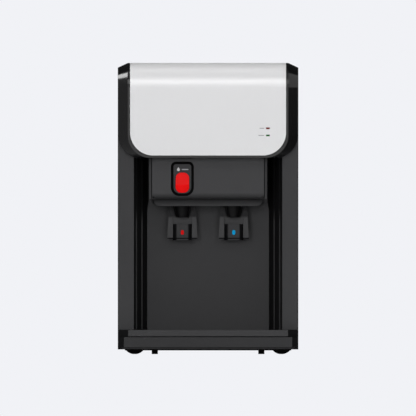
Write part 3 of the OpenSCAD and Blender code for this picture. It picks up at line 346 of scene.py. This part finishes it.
def facing(material, axis):
    """That part of the outward normal."""
    return along(material, add(material, "ShaderNodeNewGeometry").outputs["Normal"], axis)


def from_middle(material, place):
    """The distance from the plane that halves the object into left and right."""
    return reckon(material, "ABSOLUTE", along(material, place, "X"))


def rise(material, value, limits, top=1):
    return remap(material, value, 0, top, *limits)


def fall(material, value, limits, top=1):
    return remap(material, value, top, 0, *limits)


def band(material, value, start, end, top=1):
    """top between the two pairs of limits, 0 outside them."""
    return reckon(material, "MULTIPLY", rise(material, value, start, top), fall(material, value, end))


print("parts of a mask are ready")

# %% Masks for the niche and the base
WALL_START = (0.1045, 0.1047)   # from the middle, where the back wall of the niche ends
HOUSING_FOOT = (0.2465, 0.262)  # height at which the tap housing begins
PAINTED_SHADE_SPREAD = 0.0026           # beside the housing the painted shade comes this much further in
LOOKS_FORWARD = (-0.9, -0.8)    # y of the normal
STEPS_LIT = 0.5
TAP_FOOT = (0.225, 0.25)
# painted shade on the base: heights where it ends, its strength on the pan, and the tilt of the corner faces that
# get it
PAN_TOP, PAN_EDGE = (0.0120, 0.0123), (0.0086, 0.0088)
PAN_SHADE = 0.38
SLOPE_FROM, SLOPE_TO = (0.3, 0.35), (0.94, 0.97)  # x of the normal


def outside(material, place):
    """Painted shade on the side walls of the niche, outside its back wall, spreading further in beside the housing;
    the narrow steps in them get only half of it below the taps.
    """
    height = along(material, place, "Z")
    spread = rise(material, height, HOUSING_FOOT, PAINTED_SHADE_SPREAD)
    walls = rise(material, reckon(material, "ADD", from_middle(material, place), spread), WALL_START)
    steps = reckon(material, "MULTIPLY", fall(material, facing(material, "Y"), LOOKS_FORWARD, STEPS_LIT),
                   fall(material, height, TAP_FOOT))
    return reckon(material, "SUBTRACT", walls, steps)


def pan_and_corners(material, place):
    """Painted shade on the bottom of the base, fully black along its lowest edge and partly dark up to the pan's
    top, and on the sloping faces at the front corners.
    """
    height = along(material, place, "Z")
    pan = reckon(material, "MAXIMUM", fall(material, height, PAN_TOP, PAN_SHADE), fall(material, height, PAN_EDGE))
    slope = band(material, reckon(material, "ABSOLUTE", facing(material, "X")), SLOPE_FROM, SLOPE_TO)
    return reckon(material, "MAXIMUM", pan, slope)


print("masks for the niche and the base are ready")

# %% Masks for the taps and their housing
TAP_X = 0.0441  # both taps, from the middle
PAD_LIP_LOW, PAD_LIP_HIGH = (0.1981, 0.19815), (0.1997, 0.19975)
PAD_FLANK = (0.0085, 0.0112)  # from the tap's own middle
ARM_FOOT, ARM_SHADE = (0.2335, 0.2375), 0.6
LOOKS_DOWN, DOWN_SHADE = (-0.75, -0.1), 0.55  # z of the normal
FLANGE_IN, FLANGE_OUT, FLANGE_SHADE = (0.0962, 0.0966), (0.0978, 0.0984), 0.85
LIP_RISE, LIP_TOP = (0.2555, 0.2655), (0.2658, 0.2668)
LIP_SHADE_LOW, LIP_SHADE_HIGH = 0.3, 0.75


def lip_and_flanks(material, place):
    """Painted shade on the thin lip along the bottom of a paddle and on the rounded sides of its pad."""
    lip = band(material, along(material, place, "Z"), PAD_LIP_LOW, PAD_LIP_HIGH)
    from_tap = reckon(material, "SUBTRACT", from_middle(material, place), TAP_X)
    flanks = rise(material, reckon(material, "ABSOLUTE", from_tap), PAD_FLANK)
    return reckon(material, "MAXIMUM", lip, flanks)


def upper_arms(material, place):
    """Painted shadow of the tap housing on the arms of a lever above its cheeks, which lie back under it, and
    painted shade on the thin lip below them.
    """
    height = along(material, place, "Z")
    lip = band(material, height, PAD_LIP_LOW, PAD_LIP_HIGH)
    return reckon(material, "MAXIMUM", rise(material, height, ARM_FOOT, ARM_SHADE), lip)


def folds(material, place):
    """Painted shade on the faces of the tap housing that turn downwards, on the top of its lower lip, which lies
    behind the front face, and in the inner corner of the flange at each side."""
    down = fall(material, facing(material, "Z"), LOOKS_DOWN, DOWN_SHADE)
    corner = band(material, from_middle(material, place), FLANGE_IN, FLANGE_OUT, FLANGE_SHADE)
    height = along(material, place, "Z")
    lip = reckon(material, "MULTIPLY", remap(material, height, LIP_SHADE_LOW, LIP_SHADE_HIGH, *LIP_RISE),
                 fall(material, height, LIP_TOP))
    return reckon(material, "MAXIMUM", reckon(material, "MAXIMUM", down, corner), lip)


print("masks for the taps are ready")

# %% Mask for the silver field
ARC_X, ARC_Z = 0.0938, 0.3812  # middle of the rounded lower corner
ARC_EDGE = (0.0400, 0.0403)


def past_arc(material, place):
    """Outside the rounded lower corners of the silver field, where the black plastic was masked from the spray."""
    beside = reckon(material, "SUBTRACT", from_middle(material, place), ARC_X)
    below = reckon(material, "SUBTRACT", ARC_Z, along(material, place, "Z"))
    squares = []
    for distance in (beside, below):
        outward = reckon(material, "MAXIMUM", distance, 0)
        squares.append(reckon(material, "MULTIPLY", outward, outward))
    return rise(material, reckon(material, "SQRT", reckon(material, "ADD", *squares)), ARC_EDGE)


print("mask for the silver field is ready")

# %% [markdown]
# ## The floor
# The object stands on pale matt paper that sweeps up behind it, so no horizon shows. A curved sweep could be
# modelled, but then it would have to turn with the camera. A flat disc whose far parts fade into
# the background looks the same from every side. It is left out of what shines in the plastic.

# %% A disc of paper
FLOOR_RADIUS = 6
FLOOR_DROP = 0.0005          # keeps the paper clear of the feet
FADE_FROM, FADE_TO = 0.3, 1.8  # distance over which the paper turns into background
FADE_NEAR = 0.4

sheet = bpy.data.meshes.new("studio_floor")
plane = bmesh.new()
bmesh.ops.create_circle(plane, cap_ends=True, segments=96, radius=FLOOR_RADIUS)
plane.to_mesh(sheet)
plane.free()
floor = put("studio_floor", sheet)
floor.location.z = -FLOOR_DROP
floor.visible_glossy = False

paper, paper_shader, paper_place = finish("floor_paper", Roughness=0.9)
fibres = remap(paper, noise(paper, paper_place, 0.004, 4), 0, 1)
paper.node_tree.links.new(blend_colours(paper, fibres, (0.84, 0.845, 0.865), (0.87, 0.875, 0.895)),
                          paper_shader.inputs["Base Color"])
reach = add(paper, "ShaderNodeVectorMath", operation="LENGTH")
paper.node_tree.links.new(paper_place, reach.inputs[0])
fade = reckon(paper, "MULTIPLY", remap(paper, reach.outputs["Value"], FADE_NEAR, 1, FADE_FROM, FADE_TO),
              add(paper, "ShaderNodeLightPath").outputs["Is Camera Ray"])
cove = add(paper, "ShaderNodeEmission", [("Color", (*PALE, 1))])
joined = add(paper, "ShaderNodeMixShader")
for socket, output in zip(joined.inputs, (fade, paper_shader.outputs[0], cove.outputs[0])):
    paper.node_tree.links.new(output, socket)
paper.node_tree.links.new(joined.outputs[0], paper.node_tree.nodes["Material Output"].inputs["Surface"])
sheet.materials.append(paper)
print("floor of", FLOOR_RADIUS, "m radius")

# %% [markdown]
# ## The case plastics
# The columns, niche, tap housing and tray are one charcoal plastic with a fine spark texture. The
# head's frame is the same resin from a polished tool, and the lid behind it has a coarse grain that
# hides scratches. All are nearly black, so most of what the eye sees is gloss: the satin parts get
# a rougher surface and the frame a smooth one.

# %% Charcoal and polished black
BLACK_RESIN = rgb(13, 13, 14)
SATIN = {"Specular_IOR_Level": 0.15}
charcoal = moulded("charcoal_plastic", rgb(60, 60, 61), 0.58, **SATIN)
# painted shade on the housing's downward faces, lower lip and flange corners
housing_charcoal = moulded("housing_plastic", rgb(66, 66, 67), 0.55, painted_shade=folds, **SATIN)
plate_charcoal = moulded("plate_plastic", rgb(58, 58, 59), 0.6, radius=0.0004, **SATIN)
# painted shade along the bottom of the base and on its sloping corners
base_charcoal = moulded("base_plastic", rgb(54, 54, 55), 0.58, painted_shade=pan_and_corners, **SATIN)
# the niche's side walls get painted shade from their mask
niche_charcoal = moulded("niche_plastic", rgb(63, 63, 64), 0.60, painted_shade=outside, Specular_IOR_Level=0.11)
tray_charcoal = moulded("tray_plastic", rgb(63, 63, 64), 0.55, **SATIN)
black_gloss = moulded("polished_black_plastic", BLACK_RESIN, 0.12, grain=0.004,
                      relief_height=0.000012, worn=0.12, radius=0.0009, Specular_IOR_Level=0.36)
black_satin = moulded("black_plastic", rgb(10, 10, 11), 0.45, Specular_IOR_Level=0.2)
lid_black = moulded("lid_plastic", rgb(22, 22, 23), 0.5, grain=0.0009, relief_height=0.00005, radius=0.0009,
                    **SATIN)
grille_black = moulded("grille_plastic", rgb(26, 26, 27), 0.45, radius=0.0004, **SATIN)
# painted shadow of the housing on the upper arms, and painted shade on the lip
lever_black = moulded("lever_plastic", rgb(65, 65, 66), 0.5, radius=0.0005, painted_shade=upper_arms, **SATIN)
print("case plastics:", charcoal.name, black_gloss.name, lid_black.name)

# %% [markdown]
# ## The silver lacquer
# The fascia is moulded too, but sprayed with silver lacquer. Lacquer of this kind holds tiny metal
# flakes, each tilted a little, under a clear coat. Real flakes are a tenth of a millimetre across, so
# a Voronoi pattern of that size gives every cell its own tone and tilt. The lower corners are masked
# along a wide arc before spraying, so the black resin shows there.

# %% Silver with flakes
FLAKES_PER_METRE = 5200.0
DARK_FLAKE, PALE_FLAKE, SPRAY = (0.68, 0.68, 0.685), (0.755, 0.755, 0.76), (0.745, 0.745, 0.75)
BARE_IS_SMOOTHER = 0.22

silver, silver_shader, silver_place = finish("silver_lacquer", Metallic=0.15, IOR=1.45, Coat_Weight=0.1,
                                             Coat_Roughness=0.12)
flakes = add(silver, "ShaderNodeTexVoronoi", [("Scale", FLAKES_PER_METRE)])
silver.node_tree.links.new(silver_place, flakes.inputs["Vector"])
flake_tone = add(silver, "ShaderNodeSeparateColor")
silver.node_tree.links.new(flakes.outputs["Color"], flake_tone.inputs[0])
flaked = blend_colours(silver, flake_tone.outputs["Red"], DARK_FLAKE, PALE_FLAKE)
broad = remap(silver, noise(silver, silver_place, 0.09, 2), 0, 0.06)
sprayed = blend_colours(silver, broad, flaked, SPRAY)
bare = past_arc(silver, silver_place)
silver.node_tree.links.new(blend_colours(silver, bare, sprayed, BLACK_RESIN), silver_shader.inputs["Base Color"])
flake_gloss = remap(silver, flake_tone.outputs["Green"], 0.32, 0.40, 0, 1)
silver_gloss = reckon(silver, "SUBTRACT", flake_gloss, reckon(silver, "MULTIPLY", bare, BARE_IS_SMOOTHER))
silver.node_tree.links.new(silver_gloss, silver_shader.inputs["Roughness"])
relief(silver, silver_shader, [(flake_tone.outputs["Blue"], 0.25, 0.000004),
                               (noise(silver, silver_place, 0.0035, 2), 0.12, 0.00001)], 0.0008)
print("fascia finish:", silver.name)

# %% [markdown]
# ## Small parts in colour
# The safety button is a red moulding with a soft sheen, worn a little at its rim by many thumbs. The
# indicator lenses are clear coloured plastic and are not lit. The marks on the paddles are thin
# coloured inlays. The feet and the seal are matt black rubber, and the seal's black is also painted shade in its
# groove.
# The paddle pads get painted shade on their lips and flanks. All come from the one helper, because
# they differ from the case only in colour, grain and gloss.

# %% Red button, lenses, marks and rubber
button_red = moulded("button_red", rgb(238, 2, 2), 0.4, grain=0.003, relief_height=0.00001, worn=0.06,
                     radius=0.0009, Specular_IOR_Level=0.14)
INLAY = {"worn": 0.05, "radius": 0.0003, "Specular_IOR_Level": 0.1}
mark_red = moulded("hot_mark_red", rgb(216, 6, 6), 0.5, **INLAY)
mark_blue = moulded("cold_mark_blue", rgb(5, 158, 214), 0.5, **INLAY)
LENS = {"grain": 0.002, "worn": 0.05, "radius": 0.0003, "Transmission_Weight": 0.1, "Specular_IOR_Level": 0.05}
lens_red = moulded("red_lens", rgb(112, 0, 1), 0.35, **LENS)
lens_green = moulded("green_lens", rgb(0, 82, 2), 0.35, **LENS)
rubber = moulded("foot_rubber", rgb(7, 7, 7), 0.8, grain=0.0006, relief_height=0.00005, worn=0.1,
                 Specular_IOR_Level=0.06)
# painted shade on the lip and the flanks of each pad
paddle_rubber = moulded("paddle_pad", rgb(60, 60, 61), 0.5, grain=0.0008, worn=0.1, painted_shade=lip_and_flanks,
                        Specular_IOR_Level=0.08)
print("small parts:", button_red.name, lens_red.name, lens_green.name, rubber.name)


# %% [markdown]
# ## Metal and the hidden works
# The back and the inside show when the tray is out or the part is opened in a viewer, so they get real
# finishes too: spangled zinc sheet, powder coat with its orange-peel skin, brushed stainless tanks,
# enamelled condenser wire and copper that has dulled in the air.

# %% Sheet metals and enamel
STAIN, SCRATCH = 0.006, 0.0009  # sizes of the duller stains and of the fine scratches


def metal(name, colour, rough, cell, spread, radius=0.0004, **sockets):
    """Bare or plated metal: crystal-sized tone patches, fine scratches and bright edges."""
    material, shader, place = finish(name, **sockets)
    link = material.node_tree.links.new
    crystals = add(material, "ShaderNodeTexVoronoi", [("Scale", 1 / cell)])
    link(place, crystals.inputs["Vector"])
    tone = add(material, "ShaderNodeSeparateColor")
    link(crystals.outputs["Color"], tone.inputs[0])
    patches = blend_colours(material, tone.outputs["Red"], tuple(c * (1 - spread) for c in colour), colour)
    bright = tuple(min(1, c * 1.25) for c in colour)
    edged = blend_colours(material, edge_amount(material, radius * 2), patches, bright)
    link(edged, shader.inputs["Base Color"])
    link(remap(material, noise(material, place, STAIN, 5), rough * 0.75, rough * 1.3), shader.inputs["Roughness"])
    relief(material, shader, [(noise(material, place, SCRATCH, 4), 0.2, 0.00002)], radius)
    return material


zinc = metal("zinc_sheet", (0.60, 0.61, 0.63), 0.38, 0.007, 0.22, Metallic=0.9)
stainless = metal("stainless_steel", (0.66, 0.66, 0.67), 0.28, 0.002, 0.06, Metallic=1.0)
copper = metal("dulled_copper", (0.60, 0.30, 0.18), 0.35, 0.01, 0.35, Metallic=1.0)
powder_coat = moulded("powder_coat", rgb(40, 40, 42), 0.55, grain=0.0012, relief_height=0.00006, worn=0.3,
                      radius=0.0004)
enamel = moulded("black_enamel", rgb(18, 18, 19), 0.25, grain=0.003, relief_height=0.00003, worn=0.2,
                 radius=0.0004, Coat_Weight=0.3, Coat_Roughness=0.1)
print("metals:", zinc.name, stainless.name, copper.name)

# %% [markdown]
# Between the metals lie white nylon fittings, milky hoses, bead foam and one circuit board. Foam
# shows its beads as cells with darker seams, so a Voronoi pattern fits; the board's tracks run at right
# angles, and a brick pattern does for a piece that is only glimpsed.

# %% Nylon, hose, foam and circuit board
nylon = moulded("white_nylon", rgb(224, 223, 218), 0.42, worn=0.1)
hose = moulded("milky_hose", rgb(206, 211, 214), 0.3, grain=0.004, worn=0.0, Transmission_Weight=0.2)
drain_black = moulded("drain_cap_plastic", rgb(32, 32, 34), 0.45, grain=0.0005)
ROCKER = {"grain": 0.002, "worn": 0.15, "radius": 0.0007}
rocker_red = moulded("hot_rocker", rgb(176, 22, 20), 0.25, **ROCKER)
rocker_blue = moulded("cold_rocker", rgb(24, 74, 132), 0.25, **ROCKER)

foam, foam_shader, foam_place = finish("bead_foam", Roughness=0.85)
beads = add(foam, "ShaderNodeTexVoronoi", [("Scale", 290.0)])  # beads per metre
foam.node_tree.links.new(foam_place, beads.inputs["Vector"])
rim = remap(foam, beads.outputs["Distance"], 0, 1, 0.3, 0.75)
foam.node_tree.links.new(blend_colours(foam, rim, (0.86, 0.86, 0.84), (0.70, 0.70, 0.68)),
                         foam_shader.inputs["Base Color"])
relief(foam, foam_shader, [(beads.outputs["Distance"], -0.4, 0.0006)])

board, board_shader, board_place = finish("circuit_board", Roughness=0.35)
tracks = add(board, "ShaderNodeTexBrick", [("Scale", 320.0), ("Mortar Size", 0.09)])
board.node_tree.links.new(board_place, tracks.inputs["Vector"])
board.node_tree.links.new(blend_colours(board, tracks.outputs["Fac"], (0.02, 0.13, 0.05), (0.03, 0.24, 0.09)),
                          board_shader.inputs["Base Color"])
print("hidden works:", nylon.name, hose.name, foam.name, board.name)

# %% [markdown]
# ## Every solid gets its finish
# One table, read top to bottom as the object is: case, head, taps, back, inside. A solid that is
# missing from it would keep the plain grey of the CAD file, so the last line stops the script then.

# %% Hand out the finishes
FINISHES = {
    base_charcoal: ("base_plinth",),
    charcoal: ("left_side_panel", "right_side_panel"),
    housing_charcoal: ("tap_housing",),
    plate_charcoal: ("safety_plate",),
    niche_charcoal: ("niche_liner",),
    tray_charcoal: ("drip_tray",),
    black_gloss: ("head_bezel",),
    lid_black: ("top_cover",),
    silver: ("fascia_panel",),
    grille_black: ("drip_grille",),
    black_satin: ("hot_spout", "cold_spout", "hot_tap_body", "cold_tap_body", "tap_nuts", "safety_guide",
                  "switch_frame", "cord_gland"),
    lever_black: ("hot_lever", "cold_lever"),
    paddle_rubber: ("hot_paddle_pad", "cold_paddle_pad"),
    button_red: ("safety_button",),
    mark_red: ("hot_mark",),
    mark_blue: ("cold_mark",),
    lens_red: ("hot_indicator",),
    lens_green: ("power_indicator",),
    rubber: ("front_feet", "rear_feet", "compressor_grommets"),
    powder_coat: ("rear_plate",),
    enamel: ("compressor", "condenser_tube", "condenser_wires"),
    zinc: ("rear_screws", "condenser_brackets", "tank_shelf", "heater_band"),
    stainless: ("cold_tank", "hot_tank", "lever_pins", "safety_spring", "hot_spring", "cold_spring"),
    copper: ("evaporator_coil", "refrigerant_lines"),
    nylon: ("hot_stem", "cold_stem", "cold_tank_lid", "float_valve", "float_arm", "control_box", "inlet_fitting"),
    hose: ("water_hoses",),
    foam: ("tank_insulation",),
    board: ("indicator_board",),
    drain_black: ("drain_cap",),
    rocker_red: ("hot_switch",),
    rocker_blue: ("cold_switch",),
}
dressed = set()
for material, names in FINISHES.items():
    for name in names:
        nodes[name].data.materials.clear()
        nodes[name].data.materials.append(material)
        dressed.add(name)
assert dressed == set(nodes), sorted(set(nodes) ^ dressed)
print("finishes:", len(FINISHES), "solids dressed:", len(dressed))

# %% [markdown]
# ## Printed marks
# A plain bar stands beside each lamp, and a drop with a bar above the red button. Printing is a skin of
# ink a few hundredths of a millimetre thick: a flat face is cut to shape, then thickened just
# enough to stand on the plastic.

# %% Ink and how a mark is printed
INK_DEPTH = 0.00008
BAR_PROUD, DROP_PROUD = 0.00001, 0.00004
FACE_FRONT = Matrix.Rotation(math.radians(90), 4, "X")


def piece(name, shape, material):
    """The finished bmesh as an object with one material."""
    mesh = bpy.data.meshes.new(name)
    shape.to_mesh(mesh)
    shape.free()
    mesh.materials.append(material)
    return put(name, mesh)


def printed(name, shape, body, ink):
    """shape is a flat bmesh in the x-z plane that faces the front; it gets ink thickness and a place."""
    skin = bmesh.ops.extrude_face_region(shape, geom=shape.faces[:])
    lifted = [v for v in skin["geom"] if isinstance(v, bmesh.types.BMVert)]
    bmesh.ops.translate(shape, verts=lifted, vec=(0, INK_DEPTH, 0))
    bmesh.ops.recalc_face_normals(shape, faces=shape.faces[:])
    mark = piece(name, shape, ink)
    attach(mark, body)


def panel(centre, width, height):
    """A flat rectangle that faces the front."""
    flat = bmesh.new()
    bmesh.ops.create_grid(flat, x_segments=1, y_segments=1, size=0.5)
    bmesh.ops.transform(flat, verts=flat.verts[:], matrix=Matrix.Translation(centre) @ FACE_FRONT
                        @ Matrix.Diagonal((width, height, 1, 1)))
    return flat


def bar(left, right, low, high, face_y, corner):
    """A flat bar with rounded corners, just proud of a front face."""
    centre = ((left + right) / 2, face_y - BAR_PROUD, (low + high) / 2)
    flat = panel(centre, right - left, high - low)
    bmesh.ops.bevel(flat, geom=flat.verts[:], offset=corner, offset_type="OFFSET", affect="VERTICES", segments=4,
                    profile=0.5, material=-1)
    return flat


grey_ink = moulded("grey_ink", rgb(150, 150, 152), 0.5, worn=0.0, radius=0.0001)
white_ink = moulded("white_ink", rgb(206, 204, 204), 0.5, worn=0.0, radius=0.0001)
print("inks:", grey_ink.name, white_ink.name)

# %% Bars beside the lamps
BAR_RIGHT = 0.0962
BAR_HALF, BAR_CORNER = 0.0007, 0.0005
panel_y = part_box("fascia_panel")[0].y
lamp_low, lamp_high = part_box("hot_indicator")
lower_low, lower_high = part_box("power_indicator")
for name, left, low, high in (("hot_label_bar", 0.0885, lamp_low.z, lamp_high.z),
                              ("power_label_bar", 0.0865, lower_low.z, lower_high.z)):
    middle = (low + high) / 2
    strip = bar(left, BAR_RIGHT, middle - BAR_HALF, middle + BAR_HALF, panel_y, BAR_CORNER)
    printed(name, strip, "cabinet", grey_ink)
print("label bars beside the lamps, front at", round(panel_y, 5))

# %% A drop and a bar on the button plate
DROP_X, DROP_Z, DROP_RADIUS = -0.0509, 0.3168, 0.0025
DROP_TIP = 0.0014   # how far the top of the circle is drawn up
DROP_NARROW = 0.35  # share of its width that the tip loses
plate_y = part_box("safety_plate")[0].y
drop = bmesh.new()
bmesh.ops.create_circle(drop, cap_ends=True, segments=32, radius=DROP_RADIUS)
bmesh.ops.transform(drop, verts=drop.verts[:],
                    matrix=Matrix.Translation((DROP_X, plate_y - DROP_PROUD, DROP_Z)) @ FACE_FRONT)
for v in drop.verts:
    rising = max(0.0, v.co.z - DROP_Z) / DROP_RADIUS
    v.co.z += DROP_TIP * rising ** 3
    v.co.x = DROP_X + (v.co.x - DROP_X) * (1 - DROP_NARROW * rising)
printed("drop_mark", drop, "cabinet", white_ink)
printed("button_label_bar", bar(-0.0452, -0.0338, 0.3161, 0.3179, plate_y, 0.0007), "cabinet", grey_ink)
print("drop and bar on the button plate, front at", round(plate_y, 5))

# %% [markdown]
# ## The seal round the button plate
# A soft black ring lies in the groove between the tap housing and the button plate, and its black is also painted
# shade deep in that groove. It follows the plate: tight corners above, wide ones below. Rounding the four corners
# of one face, insetting it and dropping the middle leaves a ring, which is then given depth and a softened edge.

# %% Outline of the ring
SEAL_X, SEAL_Z = -0.0441, 0.3010
SEAL_WIDTH, SEAL_HEIGHT, SEAL_BAND = 0.0393, 0.0591, 0.0043
SEAL_BACK, SEAL_DEPTH, SEAL_SOFT = 0.0029, 0.0010, 0.0005  # behind the plate's face, thickness, edge
UPPER_CORNER, LOWER_CORNER = 0.00885, 0.01485
NEAR = 1e-6

ring = panel((SEAL_X, plate_y + SEAL_BACK, SEAL_Z), SEAL_WIDTH, SEAL_HEIGHT)
for upper, radius in ((True, UPPER_CORNER), (False, LOWER_CORNER)):
    corners = [v for v in ring.verts if len(v.link_edges) == 2 and (v.co.z > SEAL_Z) == upper
               and abs(abs(v.co.x - SEAL_X) - SEAL_WIDTH / 2) < NEAR
               and abs(abs(v.co.z - SEAL_Z) - SEAL_HEIGHT / 2) < NEAR]
    bmesh.ops.bevel(ring, geom=corners, offset=radius, offset_type="OFFSET", affect="VERTICES", segments=8,
                    profile=0.5, material=-1)
middle = ring.faces[:]
bmesh.ops.inset_region(ring, faces=middle, thickness=SEAL_BAND, use_even_offset=True, use_boundary=True)
bmesh.ops.delete(ring, geom=middle, context="FACES_ONLY")
print("flat ring of", len(ring.faces), "faces")

# %% Depth and soft edges for the ring
raised = bmesh.ops.extrude_face_region(ring, geom=ring.faces[:])["geom"]
fronts = [g for g in raised if isinstance(g, bmesh.types.BMFace)]
bmesh.ops.translate(ring, verts=[g for g in raised if isinstance(g, bmesh.types.BMVert)], vec=(0, -SEAL_DEPTH, 0))
bmesh.ops.recalc_face_normals(ring, faces=ring.faces[:])
rims = {e for f in fronts for e in f.edges if any(abs(o.normal.y) < 0.5 for o in e.link_faces)}
bmesh.ops.bevel(ring, geom=list(rims), offset=SEAL_SOFT, offset_type="OFFSET", affect="EDGES", segments=3,
                profile=0.5, material=-1)
# the seal's black rubber is also painted shade in the groove
seal = piece("button_seal_and_groove_shade", ring, rubber)
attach(seal, "cabinet")
print("seal ring faces:", len(seal.data.polygons))

# %% [markdown]
# ## The folded lip under the base
# A pressed steel pan closes the base from below, and its front edge is folded down into a lip less
# than two millimetres high. It is one long bar with softened edges, set back from both ends,
# so a box scaled to length and bevelled is all it needs. It takes the matt black rubber of the feet,
# and that black also paints the shadow line along the bottom of the front.

# %% Black lip along the bottom front edge
LIP_LENGTH, LIP_THICK, LIP_HEIGHT = 0.286, 0.0012, 0.0018
LIP_BACK, LIP_DROP, LIP_SOFT = 0.0062, 0.0008, 0.0002  # behind the base's front, below its underside, edge
base_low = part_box("base_plinth")[0]
lip = bmesh.new()
bmesh.ops.create_cube(lip, size=1.0)
lip_place = Matrix.Translation((0, base_low.y + LIP_BACK, base_low.z - LIP_DROP))
bmesh.ops.transform(lip, verts=lip.verts[:],
                    matrix=lip_place @ Matrix.Diagonal((LIP_LENGTH, LIP_THICK, LIP_HEIGHT, 1)))
bmesh.ops.bevel(lip, geom=lip.edges[:], offset=LIP_SOFT, offset_type="OFFSET", affect="EDGES", segments=2,
                profile=0.5, material=-1)
# painted shadow: the lip's matt black also stands for the shadow line under the front
pan_lip_and_shadow_line = piece("pan_lip_and_shadow_line", lip, rubber)
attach(pan_lip_and_shadow_line, "cabinet")
print("pan lip faces:", len(pan_lip_and_shadow_line.data.polygons), "under the base at", round(base_low.z, 4))
